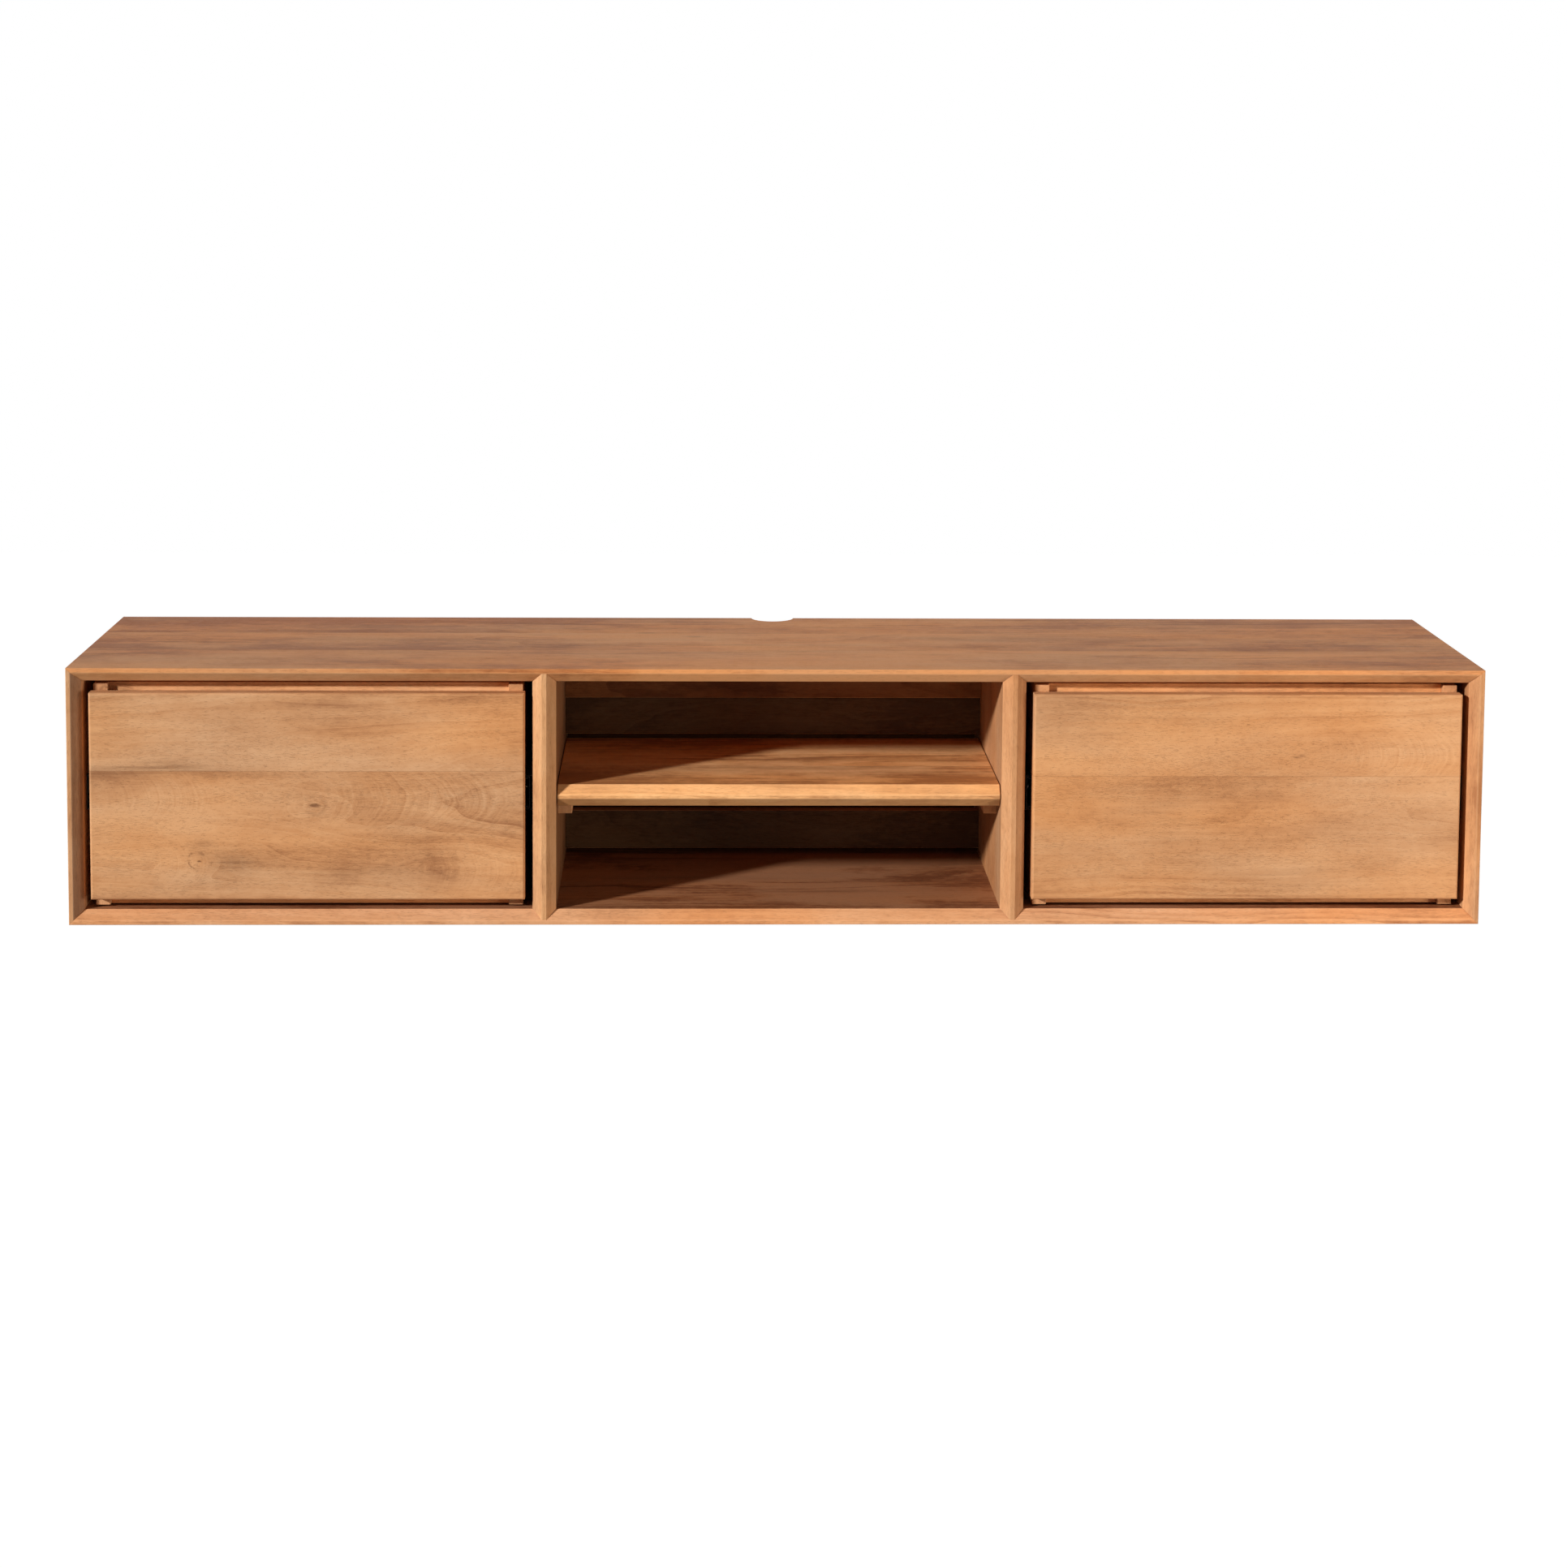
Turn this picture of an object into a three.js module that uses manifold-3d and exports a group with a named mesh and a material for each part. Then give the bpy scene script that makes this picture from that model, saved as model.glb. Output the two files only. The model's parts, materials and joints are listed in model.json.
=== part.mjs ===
// Floating media console: a wall-hung, mitred wooden carcass with an open centre bay, a shelf on cleats,
// and a handleless drawer on full-extension slides in each side bay.
// Millimetres, +X to the right, +Y to the wall, +Z up. The wall plane is y = 0.
// The origin lies on the wall plane, on the centre line, at the level of the wall cleats' screw holes.

import * as THREE from 'three';
import { mergeVertices } from 'three/addons/utils/BufferGeometryUtils.js';
import Module from 'manifold-3d';

const wasm = await Module();
wasm.setup();

// Overall size
const consoleWidth = 1800;
const consoleHeight = 330;
const consoleDepth = 400;

// Carcass boards: a flat lip at the front edge and a chamfer from there to the inner face
const boardThickness = 18;
const boardLip = 6;

// Dividers: a narrow ridge at the front with a bevel on both sides
const dividerThickness = 30;
const dividerRidge = 6;

// Shelf in the centre bay, its front edge pointed like the dividers'
const shelfThickness = 28;
const shelfRidge = 5;
const shelfBelowMiddle = 2;
const shelfSetback = 12;
const shelfEndGap = 1;
const cleatSection = 18;
const cleatSetback = 60;

// Back of the centre bay: boards that stand clear of the surface below, for cables
const backBoardThickness = 18;
const cableTroughDepth = 54;
const lowerBackBoardHeight = 53;
const underBoardGap = 9;
const topRailHeight = 74;
const topRailThickness = 18;
const topRailProud = 8;

// Thin back panels, and the way for cables through the top and the centre panel
const backPanelThickness = 9;
const cableNotchRadius = 29;
const cablePortHeight = 45;

// Wall fixing: a bevelled rail under the top hooks behind a bevelled cleat on the wall
const hangingThickness = 18;
const hangingRailHeight = 78;
const wallCleatHeight = 70;
const wallCleatLength = 460;
const wallHoleRadius = 3.25;
const wallHoleHeadRadius = 6.5;
const wallHoleSpacing = 200;

// Drawers
const frontThickness = 20;
const frontSetback = 2;
const frontSideGap = 9.5;
const frontEndGap = 14;
const frontArris = 2;
const drawerBoardThickness = 18;
const drawerRearGap = 20.1;
const drawerFloorGap = 2.5;
const drawerTopGap = 5;
const innerFrontRecess = 9;
const drawerBottomThickness = 9;
const drawerGrooveDepth = 6;
const drawerGrooveHeight = 10;
const drawerGrooveGap = 0.3;

// Slides: three nested channels of one sheet, shorter than the drawer's sides at both ends
const slideWidth = 12.7;
const slideHeight = 45;
const slideFrontInset = 12;
const slideRearInset = 18;
const slideSheet = 1.4;
const slideRunGap = 0.4;
const slideMiddleInset = 4.2;
const slideOuterTipGap = 2.2;
const slideMiddleTipGap = 1.7;
const slideInnerTipGap = 0.8;

// Screws: a low round head on a plain shank
const screwRadius = 2;
const screwHeadRadius = 4;
const screwHeadHeight = 2.4;
const frontScrewLength = 38;
const frontScrewSpanX = 340;
const frontScrewSpanZ = 150;
const cleatScrewLength = 30;
const cleatScrewEndDistance = 45;
const screwHoleGap = 0.3;
const screwSides = 8;
const notchSides = 40;

// Clearances
const jointGap = 0.3;
const cutOverrun = 5;

// Derived places, measured up from the underside and back from the front plane
const frontPlane = -consoleDepth;
const boardChamfer = boardThickness - boardLip;
const dividerBevel = (dividerThickness - dividerRidge) / 2;
const shelfBevel = (shelfThickness - shelfRidge) / 2;
const bayWidth = (consoleWidth - 2 * boardThickness - 2 * dividerThickness) / 3;
const bayHeight = consoleHeight - 2 * boardThickness;
const sideBayCentre = bayWidth + dividerThickness;
const dividerCentre = (bayWidth + dividerThickness) / 2;
const ceiling = consoleHeight - boardThickness;
const shelfUnderside = (consoleHeight - shelfThickness) / 2 - shelfBelowMiddle;
const shelfTop = shelfUnderside + shelfThickness;
const cavityDepth = hangingThickness + 2 * jointGap;
const backPanelFront = -cavityDepth - backPanelThickness;
const backBoardRear = backPanelFront - cableTroughDepth;
const backBoardFront = backBoardRear - backBoardThickness;
const hangingRailBottom = ceiling - jointGap - hangingRailHeight;
const bevelGap = jointGap * Math.SQRT2;
const wallCleatTop = hangingRailBottom - bevelGap + hangingThickness;
const wallScrewLevel = wallCleatTop - hangingThickness - (wallCleatHeight - hangingThickness) / 2;

// Finishes
const wood = (color, roughness) => new THREE.MeshStandardMaterial({ color, roughness, metalness: 0 });
const topWood = wood(0xa0632f, 0.55);
const edgeWood = wood(0xc99a66, 0.6);
const frontWood = wood(0xc08f5c, 0.6);
const innerWood = wood(0x9a6a3c, 0.65);
const blackSteel = new THREE.MeshStandardMaterial({ color: 0x2a2827, roughness: 0.45, metalness: 0 });
const screwSteel = new THREE.MeshStandardMaterial({ color: 0xd0b878, roughness: 0.4, metalness: 0.8 });

// Prisms: an outline of [a, b] points drawn in one plane and pushed along the third axis
function prism(outline, length, basis) {
  const shape = new THREE.Shape(outline.map(([a, b]) => new THREE.Vector2(a, b)));
  const geometry = new THREE.ExtrudeGeometry(shape, { depth: length, bevelEnabled: false });
  return geometry.applyMatrix4(basis);
}

const axisX = new THREE.Vector3(1, 0, 0);
const axisY = new THREE.Vector3(0, 1, 0);
const axisZ = new THREE.Vector3(0, 0, 1);

// Outline in x and z, from y = start to y = start + length
function prismAlongY(outline, start, length) {
  const basis = new THREE.Matrix4().makeBasis(axisX, axisZ, axisY.clone().negate());
  return prism(outline, length, basis).translate(0, start + length, 0);
}

// Outline in y and z, from x = start to x = start + length
function prismAlongX(outline, start, length) {
  const basis = new THREE.Matrix4().makeBasis(axisY, axisZ, axisX);
  return prism(outline, length, basis).translate(start, 0, 0);
}

// Outline in x and y, from z = start to z = start + length
function prismAlongZ(outline, start, length) {
  return prism(outline, length, new THREE.Matrix4()).translate(0, 0, start);
}

// A plain board between two corners
function boardBetween(low, high) {
  const size = high.map((value, axis) => value - low[axis]);
  const middle = high.map((value, axis) => (value + low[axis]) / 2);
  return new THREE.BoxGeometry(...size).translate(...middle);
}

// Booleans on closed geometries
function solidOf(geometry) {
  const bare = geometry.clone();
  bare.deleteAttribute('normal');
  bare.deleteAttribute('uv');
  const merged = mergeVertices(bare);
  return new wasm.Manifold(new wasm.Mesh({
    numProp: 3,
    vertProperties: new Float32Array(merged.attributes.position.array),
    triVerts: new Uint32Array(merged.index.array),
  }));
}

function geometryOf(solid) {
  const mesh = solid.getMesh();
  const geometry = new THREE.BufferGeometry();
  geometry.setAttribute('position', new THREE.BufferAttribute(new Float32Array(mesh.vertProperties), 3));
  geometry.setIndex(new THREE.BufferAttribute(new Uint32Array(mesh.triVerts), 1));
  geometry.computeVertexNormals();
  return geometry;
}

function common(first, second) {
  return geometryOf(solidOf(first).intersect(solidOf(second)));
}

function without(body, cuts) {
  return geometryOf(cuts.reduce((rest, cut) => rest.subtract(solidOf(cut)), solidOf(body)));
}

function place(parent, name, geometry, material, position = [0, 0, 0]) {
  const mesh = new THREE.Mesh(geometry, material);
  mesh.name = name;
  mesh.position.set(...position);
  parent.add(mesh);
}

// A screw about the Y axis, its head above y = 0 and its shank below it
function screw(length) {
  const profile = [
    [0, -length],
    [screwRadius, -length],
    [screwRadius, 0],
    [screwHeadRadius, 0],
    [screwHeadRadius, screwHeadHeight],
    [0, screwHeadHeight],
  ];
  return new THREE.LatheGeometry(profile.map(([r, y]) => new THREE.Vector2(r, y)), screwSides);
}

// The hole that a screw's shank needs, a little wider and longer than the shank
function screwHole(length) {
  const radius = screwRadius + screwHoleGap;
  const depth = length + screwHoleGap + cutOverrun;
  const hole = new THREE.CylinderGeometry(radius, radius, depth, screwSides);
  return hole.translate(0, cutOverrun - depth / 2, 0);
}

// A screw spot is where the underside of the head lies and which way the shank points
function turnTo({ direction }) {
  return new THREE.Quaternion().setFromUnitVectors(axisY.clone().negate(), direction);
}

function holesAt(spots, length) {
  return spots.map((spot) => screwHole(length).applyQuaternion(turnTo(spot)).translate(...spot.position));
}

function placeScrews(parent, name, spots, length) {
  spots.forEach((spot, index) => {
    const turned = screw(length).applyQuaternion(turnTo(spot));
    place(parent, `${name}_${index + 1}`, turned, screwSteel, spot.position);
  });
}

// Carcass: four mitred boards. Each is the board's front view crossed with the section of its front edge.
function mitredBoard(frontOutline, edgeSection, pushSection) {
  const seenFromFront = prismAlongY(frontOutline, frontPlane, consoleDepth);
  return common(seenFromFront, pushSection(edgeSection));
}

const halfWidth = consoleWidth / 2;

// Mitre planes at 45 degrees, each board standing back from the plane by half the joint gap
const mitreInset = bevelGap / 2;

function horizontalBoard(outerLevel, inward) {
  const innerLevel = outerLevel + inward * boardThickness;
  const outline = [
    [-halfWidth + mitreInset, outerLevel],
    [halfWidth - mitreInset, outerLevel],
    [halfWidth - boardThickness - mitreInset, innerLevel],
    [-halfWidth + boardThickness + mitreInset, innerLevel],
  ];
  const section = [
    [frontPlane, outerLevel],
    [frontPlane, outerLevel + inward * boardLip],
    [frontPlane + boardChamfer, innerLevel],
    [0, innerLevel],
    [0, outerLevel],
  ];
  return mitredBoard(outline, section, (drawn) => prismAlongX(drawn, -halfWidth, consoleWidth));
}

function uprightBoard(side) {
  const outer = side * halfWidth;
  const inner = side * (halfWidth - boardThickness);
  const outline = [
    [outer, mitreInset],
    [outer, consoleHeight - mitreInset],
    [inner, consoleHeight - boardThickness - mitreInset],
    [inner, boardThickness + mitreInset],
  ];
  const section = [
    [outer, frontPlane],
    [side * (halfWidth - boardLip), frontPlane],
    [inner, frontPlane + boardChamfer],
    [inner, 0],
    [outer, 0],
  ];
  return mitredBoard(outline, section, (drawn) => prismAlongZ(drawn, 0, consoleHeight));
}

function topBoard() {
  const height = boardThickness + 2 * cutOverrun;
  const notch = new THREE.CylinderGeometry(cableNotchRadius, cableNotchRadius, height, notchSides);
  notch.rotateX(Math.PI / 2).translate(0, 0, consoleHeight - boardThickness / 2);
  return without(horizontalBoard(consoleHeight, -1), [notch]);
}

// Spots of the screws that hold one shelf cleat to its divider
const cleatFront = frontPlane + cleatSetback;
const cleatRear = backBoardFront;
const cleatMiddle = shelfUnderside - jointGap - cleatSection / 2;

function cleatScrewSpots(side) {
  const direction = new THREE.Vector3(side, 0, 0);
  const face = side * (bayWidth / 2 - jointGap - cleatSection - jointGap);
  const places = [cleatFront + cleatScrewEndDistance, cleatRear - cleatScrewEndDistance];
  return places.map((y) => ({ direction, position: [face, y, cleatMiddle] }));
}

// Divider: its plan, pointed at the front, crossed with the side view that the boards' chamfers leave for it
function divider(side) {
  const middle = side * dividerCentre;
  const half = dividerThickness / 2;
  const ridge = dividerRidge / 2;
  const plan = [
    [middle - ridge, frontPlane],
    [middle + ridge, frontPlane],
    [middle + half, frontPlane + dividerBevel],
    [middle + half, 0],
    [middle - half, 0],
    [middle - half, frontPlane + dividerBevel],
  ];
  const sideView = [
    [frontPlane, boardLip + bevelGap],
    [frontPlane + boardChamfer, boardThickness + bevelGap],
    [frontPlane + boardChamfer, boardThickness + jointGap],
    [0, boardThickness + jointGap],
    [0, ceiling - jointGap],
    [frontPlane + boardChamfer, ceiling - jointGap],
    [frontPlane + boardChamfer, ceiling - bevelGap],
    [frontPlane, consoleHeight - boardLip - bevelGap],
  ];
  const seenFromSide = prismAlongX(sideView, middle - half, dividerThickness);
  const board = common(prismAlongZ(plan, 0, consoleHeight), seenFromSide);
  return without(board, holesAt(cleatScrewSpots(side), cleatScrewLength));
}

// Shelf: one section with the pointed front edge, pushed across the bay
function shelfBoard() {
  const ridgeFace = frontPlane + shelfSetback;
  const ridgeLow = shelfUnderside + shelfBevel;
  const section = [
    [ridgeFace, ridgeLow],
    [ridgeFace + shelfBevel, shelfUnderside],
    [backBoardRear, shelfUnderside],
    [backBoardRear, shelfTop],
    [ridgeFace + shelfBevel, shelfTop],
    [ridgeFace, ridgeLow + shelfRidge],
  ];
  const length = bayWidth - 2 * shelfEndGap;
  return prismAlongX(section, -length / 2, length);
}

function shelfCleat(side) {
  const outer = side * (bayWidth / 2 - jointGap);
  const inner = outer - side * cleatSection;
  const top = shelfUnderside - jointGap;
  const body = boardBetween(
    [Math.min(outer, inner), cleatFront, top - cleatSection],
    [Math.max(outer, inner), cleatRear, top],
  );
  return without(body, holesAt(cleatScrewSpots(side), cleatScrewLength));
}

// Board across the centre bay at the back, from one level up to another
function crossBoard(front, thickness, bottom, top) {
  const half = bayWidth / 2 - jointGap;
  return boardBetween([-half, front, bottom], [half, front + thickness, top]);
}

function backPanel(centre) {
  const half = bayWidth / 2 - jointGap;
  return boardBetween(
    [centre - half, backPanelFront, boardThickness + jointGap],
    [centre + half, -cavityDepth, ceiling - jointGap],
  );
}

function centreBackPanel() {
  const port = boardBetween(
    [-cableNotchRadius, backPanelFront - cutOverrun, ceiling - cablePortHeight],
    [cableNotchRadius, -cavityDepth + cutOverrun, ceiling + cutOverrun],
  );
  return without(backPanel(0), [port]);
}

// Wall fixing, in side view: the rail's low edge slopes down to the wall and the cleat's top edge fits it
function hangingRail(centre) {
  const near = -hangingThickness - jointGap;
  const far = -jointGap;
  const section = [
    [far, hangingRailBottom],
    [far, ceiling - jointGap],
    [near, ceiling - jointGap],
    [near, hangingRailBottom + hangingThickness],
  ];
  const length = bayWidth - 2 * jointGap;
  return prismAlongX(section, centre - length / 2, length);
}

function wallCleat(centre) {
  const section = [
    [0, wallCleatTop - wallCleatHeight],
    [0, wallCleatTop - hangingThickness],
    [-hangingThickness, wallCleatTop],
    [-hangingThickness, wallCleatTop - wallCleatHeight],
  ];
  const body = prismAlongX(section, centre - wallCleatLength / 2, wallCleatLength);
  const holes = [-1, 1].map((side) => {
    const profile = [
      [0, -cutOverrun],
      [wallHoleRadius, -cutOverrun],
      [wallHoleRadius, hangingThickness - (wallHoleHeadRadius - wallHoleRadius)],
      [wallHoleHeadRadius, hangingThickness],
      [wallHoleHeadRadius, hangingThickness + cutOverrun],
      [0, hangingThickness + cutOverrun],
    ];
    const bore = new THREE.LatheGeometry(profile.map(([r, y]) => new THREE.Vector2(r, y)), 2 * screwSides);
    return bore.rotateX(Math.PI).translate(centre + side * wallHoleSpacing / 2, 0, wallScrewLevel);
  });
  return without(body, holes);
}

// Drawers and slides are measured from the middle of their bay, the front plane and the bay's floor
const drawerHeight = bayHeight - drawerFloorGap - drawerTopGap;
const drawerMiddle = drawerFloorGap + drawerHeight / 2;
const boxHalf = bayWidth / 2 - slideWidth;
const boxFront = frontSetback + frontThickness + jointGap;
const innerFrontFace = boxFront + innerFrontRecess;
const boxRear = consoleDepth + backPanelFront - drawerRearGap;
const boxTop = drawerFloorGap + drawerHeight;
const grooveLow = drawerFloorGap + drawerGrooveHeight;
const grooveHigh = grooveLow + drawerBottomThickness + 2 * drawerGrooveGap;

// Section of a slide member: a channel with its web and its flanges' tips at two places across the slide
function channel(web, tip, height) {
  const half = height / 2;
  const webInner = web + Math.sign(tip - web) * slideSheet;
  return [
    [web, -half],
    [tip, -half],
    [tip, -half + slideSheet],
    [webInner, -half + slideSheet],
    [webInner, half - slideSheet],
    [tip, half - slideSheet],
    [tip, half],
    [web, half],
  ];
}

const slideMiddleHeight = slideHeight - 2 * slideSheet - 2 * slideRunGap;
const slideInnerHeight = slideMiddleHeight - 2 * slideSheet - 2 * slideRunGap;

const slideMiddleWeb = slideMiddleInset + slideSheet;
const outerChannel = channel(jointGap, slideWidth - slideOuterTipGap, slideHeight);
const middleChannel = channel(slideMiddleInset, slideWidth - slideMiddleTipGap, slideMiddleHeight);
const innerChannel = channel(slideWidth - jointGap, slideMiddleWeb + slideInnerTipGap, slideInnerHeight);

function slideMember(side, section) {
  const drawn = section.map(([across, z]) => [side * (bayWidth / 2 - across), z + drawerMiddle]);
  const start = boxFront + slideFrontInset;
  return prismAlongY(drawn, start, boxRear - slideRearInset - start);
}

// Front slab with a fine chamfer round its face: its plan crossed with its side view
function drawerFront(screwSpots) {
  const half = bayWidth / 2 - frontSideGap;
  const low = frontEndGap;
  const high = bayHeight - frontEndGap;
  const face = frontSetback;
  const back = frontSetback + frontThickness;
  const plan = [
    [-half + frontArris, face],
    [half - frontArris, face],
    [half, face + frontArris],
    [half, back],
    [-half, back],
    [-half, face + frontArris],
  ];
  const sideView = [
    [face, low + frontArris],
    [face + frontArris, low],
    [back, low],
    [back, high],
    [face + frontArris, high],
    [face, high - frontArris],
  ];
  const slab = common(prismAlongZ(plan, low, high - low), prismAlongX(sideView, -half, 2 * half));
  return without(slab, holesAt(screwSpots, frontScrewLength));
}

// Section of a drawer board with the groove for the bottom in its inner face
function groovedSection(outer, inner) {
  const grooveEnd = inner + Math.sign(outer - inner) * drawerGrooveDepth;
  return [
    [outer, drawerFloorGap],
    [inner, drawerFloorGap],
    [inner, grooveLow],
    [grooveEnd, grooveLow],
    [grooveEnd, grooveHigh],
    [inner, grooveHigh],
    [inner, boxTop],
    [outer, boxTop],
  ];
}

function drawerSide(side) {
  const outer = side * boxHalf;
  const inner = side * (boxHalf - drawerBoardThickness);
  return prismAlongY(groovedSection(outer, inner), boxFront, boxRear - boxFront);
}

function drawerCrossBoard(outer, inner) {
  const half = boxHalf - drawerBoardThickness - jointGap;
  return prismAlongX(groovedSection(outer, inner), -half, 2 * half);
}

function frontScrewSpots() {
  const face = innerFrontFace + drawerBoardThickness + jointGap;
  return [-1, 1].flatMap((across) => [-1, 1].map((up) => ({
    direction: new THREE.Vector3(0, -1, 0),
    position: [across * frontScrewSpanX / 2, face, drawerMiddle + up * frontScrewSpanZ / 2],
  })));
}

function innerFront(screwSpots) {
  const board = drawerCrossBoard(innerFrontFace, innerFrontFace + drawerBoardThickness);
  return without(board, holesAt(screwSpots, frontScrewLength));
}

function drawerBottom() {
  const half = boxHalf - drawerBoardThickness + drawerGrooveDepth - drawerGrooveGap;
  const front = innerFrontFace + drawerBoardThickness - drawerGrooveDepth + drawerGrooveGap;
  const rear = boxRear - drawerBoardThickness + drawerGrooveDepth - drawerGrooveGap;
  const low = grooveLow + drawerGrooveGap;
  return boardBetween([-half, front, low], [half, rear, low + drawerBottomThickness]);
}

// Everything is placed in a group whose own zero is the underside at the wall
const mediaConsole = new THREE.Group();
mediaConsole.position.z = -wallScrewLevel;

const hands = [['left', -1], ['right', 1]];

place(mediaConsole, 'top_panel', topBoard(), topWood);
place(mediaConsole, 'bottom_panel', horizontalBoard(0, 1), innerWood);
place(mediaConsole, 'center_shelf', shelfBoard(), innerWood);
place(mediaConsole, 'center_top_rail', crossBoard(
  backBoardFront - topRailProud,
  topRailThickness,
  ceiling - jointGap - topRailHeight,
  ceiling - jointGap,
), innerWood);
place(mediaConsole, 'upper_back_board', crossBoard(
  backBoardFront,
  backBoardThickness,
  shelfTop + underBoardGap,
  ceiling - topRailHeight - 2 * jointGap,
), innerWood);
place(mediaConsole, 'lower_back_board', crossBoard(
  backBoardFront,
  backBoardThickness,
  boardThickness + underBoardGap,
  boardThickness + underBoardGap + lowerBackBoardHeight,
), innerWood);
place(mediaConsole, 'center_back_panel', centreBackPanel(), innerWood);

for (const [name, side] of hands) {
  const centre = side * sideBayCentre;
  place(mediaConsole, `${name}_side_panel`, uprightBoard(side), edgeWood);
  place(mediaConsole, `${name}_divider`, divider(side), edgeWood);
  place(mediaConsole, `${name}_shelf_cleat`, shelfCleat(side), innerWood);
  placeScrews(mediaConsole, `${name}_shelf_cleat_screw`, cleatScrewSpots(side), cleatScrewLength);
  place(mediaConsole, `${name}_back_panel`, backPanel(centre), innerWood);
  place(mediaConsole, `${name}_hanging_rail`, hangingRail(centre), innerWood);
  place(mediaConsole, `${name}_wall_cleat`, wallCleat(centre), innerWood);

  const bay = new THREE.Group();
  bay.position.set(centre, frontPlane, boardThickness);
  mediaConsole.add(bay);
  const screwSpots = frontScrewSpots();
  place(bay, `${name}_drawer_front`, drawerFront(screwSpots), frontWood);
  place(bay, `${name}_drawer_inner_front`, innerFront(screwSpots), innerWood);
  place(bay, `${name}_drawer_back`, drawerCrossBoard(boxRear, boxRear - drawerBoardThickness), innerWood);
  place(bay, `${name}_drawer_bottom`, drawerBottom(), innerWood);
  placeScrews(bay, `${name}_drawer_front_screw`, screwSpots, frontScrewLength);

  for (const [end, hand] of hands) {
    place(bay, `${name}_drawer_${end}_side`, drawerSide(hand), innerWood);
    place(bay, `${name}_bay_${end}_slide_outer`, slideMember(hand, outerChannel), blackSteel);
    place(bay, `${name}_bay_${end}_slide_middle`, slideMember(hand, middleChannel), blackSteel);
    place(bay, `${name}_bay_${end}_slide_inner`, slideMember(hand, innerChannel), blackSteel);
  }
}

export default mediaConsole;
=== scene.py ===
"""Floating media console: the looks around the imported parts.

Metres, +X to the right, +Y to the wall, +Z up. The wall plane is y = 0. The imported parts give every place.
"""
import json
import math
from typing import NamedTuple

import bmesh
import bpy
from bpy.props import FloatProperty, FloatVectorProperty, IntProperty, PointerProperty
from mathutils import Matrix, Vector
from mathutils.bvhtree import BVHTree


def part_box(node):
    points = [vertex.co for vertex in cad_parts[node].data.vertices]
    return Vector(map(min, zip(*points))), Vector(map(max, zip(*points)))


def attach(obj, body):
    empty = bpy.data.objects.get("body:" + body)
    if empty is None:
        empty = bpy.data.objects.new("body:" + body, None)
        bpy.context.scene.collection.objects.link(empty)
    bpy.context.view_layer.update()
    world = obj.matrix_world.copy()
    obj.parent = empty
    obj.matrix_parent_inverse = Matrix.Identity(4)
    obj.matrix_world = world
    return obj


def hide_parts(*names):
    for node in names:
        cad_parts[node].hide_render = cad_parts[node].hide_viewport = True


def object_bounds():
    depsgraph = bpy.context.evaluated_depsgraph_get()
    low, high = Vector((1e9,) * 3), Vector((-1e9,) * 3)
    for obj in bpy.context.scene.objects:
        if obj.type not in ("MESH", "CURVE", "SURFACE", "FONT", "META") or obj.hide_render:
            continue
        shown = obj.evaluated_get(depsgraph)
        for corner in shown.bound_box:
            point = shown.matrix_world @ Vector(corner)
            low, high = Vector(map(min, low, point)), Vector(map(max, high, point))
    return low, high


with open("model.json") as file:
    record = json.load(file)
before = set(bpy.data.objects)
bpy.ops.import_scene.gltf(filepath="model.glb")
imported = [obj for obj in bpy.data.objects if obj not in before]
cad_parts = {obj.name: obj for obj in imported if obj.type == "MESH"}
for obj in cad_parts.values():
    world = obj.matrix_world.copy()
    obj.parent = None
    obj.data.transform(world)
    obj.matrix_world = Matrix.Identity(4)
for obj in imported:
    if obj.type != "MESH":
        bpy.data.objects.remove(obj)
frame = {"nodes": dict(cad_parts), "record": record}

bl_info = {
    "name": "Floating media console",
    "version": (1, 0, 0),
    "blender": (4, 5, 0),
    "location": "View3D > Sidebar > Console",
    "description": "Wall-hung wooden media console with two drawers, dressed around its packed parts",
    "category": "Object",
}

MILLIMETRE = 0.001
PACKED_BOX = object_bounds()


# Settings


def tone(name, description, default, top=1.0):
    settings = {"subtype": "COLOR", "size": 3, "min": 0, "max": top}
    return FloatVectorProperty(name=name, description=description, default=default, **settings)


def length(name, description, default):
    settings = {"subtype": "DISTANCE", "unit": "LENGTH", "min": 0, "precision": 5}
    return FloatProperty(name=name, description=description, default=default, **settings)


def location(name, description, default):
    settings = {"subtype": "XYZ", "unit": "LENGTH", "size": 3}
    return FloatVectorProperty(name=name, description=description, default=default, **settings)


def angle(name, description, degrees):
    return FloatProperty(name=name, description=description, subtype="ANGLE", default=math.radians(degrees))


class WoodSettings(bpy.types.PropertyGroup):
    """Colours and sizes of the oiled timber"""

    light_tone: tone("Light tone", "Pale early wood between the growth lines", (0.78, 0.44, 0.225))
    middle_tone: tone("Middle tone", "Overall colour of the oiled wood", (0.65, 0.33, 0.153))
    dark_tone: tone("Dark tone", "Late wood at the end of each growth ring", (0.40, 0.175, 0.075))
    knot_tone: tone("Knot tone", "Heart of a knot, open pores and dark streaks", (0.14, 0.05, 0.02))
    ring_pitch: length("Ring pitch", "Usual distance between growth lines", 0.0105)
    grain_relief: length("Grain relief", "Depth of the open pores and raised lines", 0.00018)


class EdgeSettings(bpy.types.PropertyGroup):
    """How far the edges of boards and sheets are eased"""

    free_radius: length("Free edge", "Radius of an edge that a hand can touch", 0.0012)
    joint_radius: length("Joint edge", "Radius of an edge that lies in a joint", 0.00035)
    sheet_radius: length("Sheet edge", "Radius of the edges of the slides' steel sheet", 0.0003)
    joint_closing: length("Joint closing", "How far a carcass board reaches into each joint", 0.0002)
    segments: IntProperty(name="Segments", description="Facets across an edge", min=1, max=6, default=3)


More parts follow.
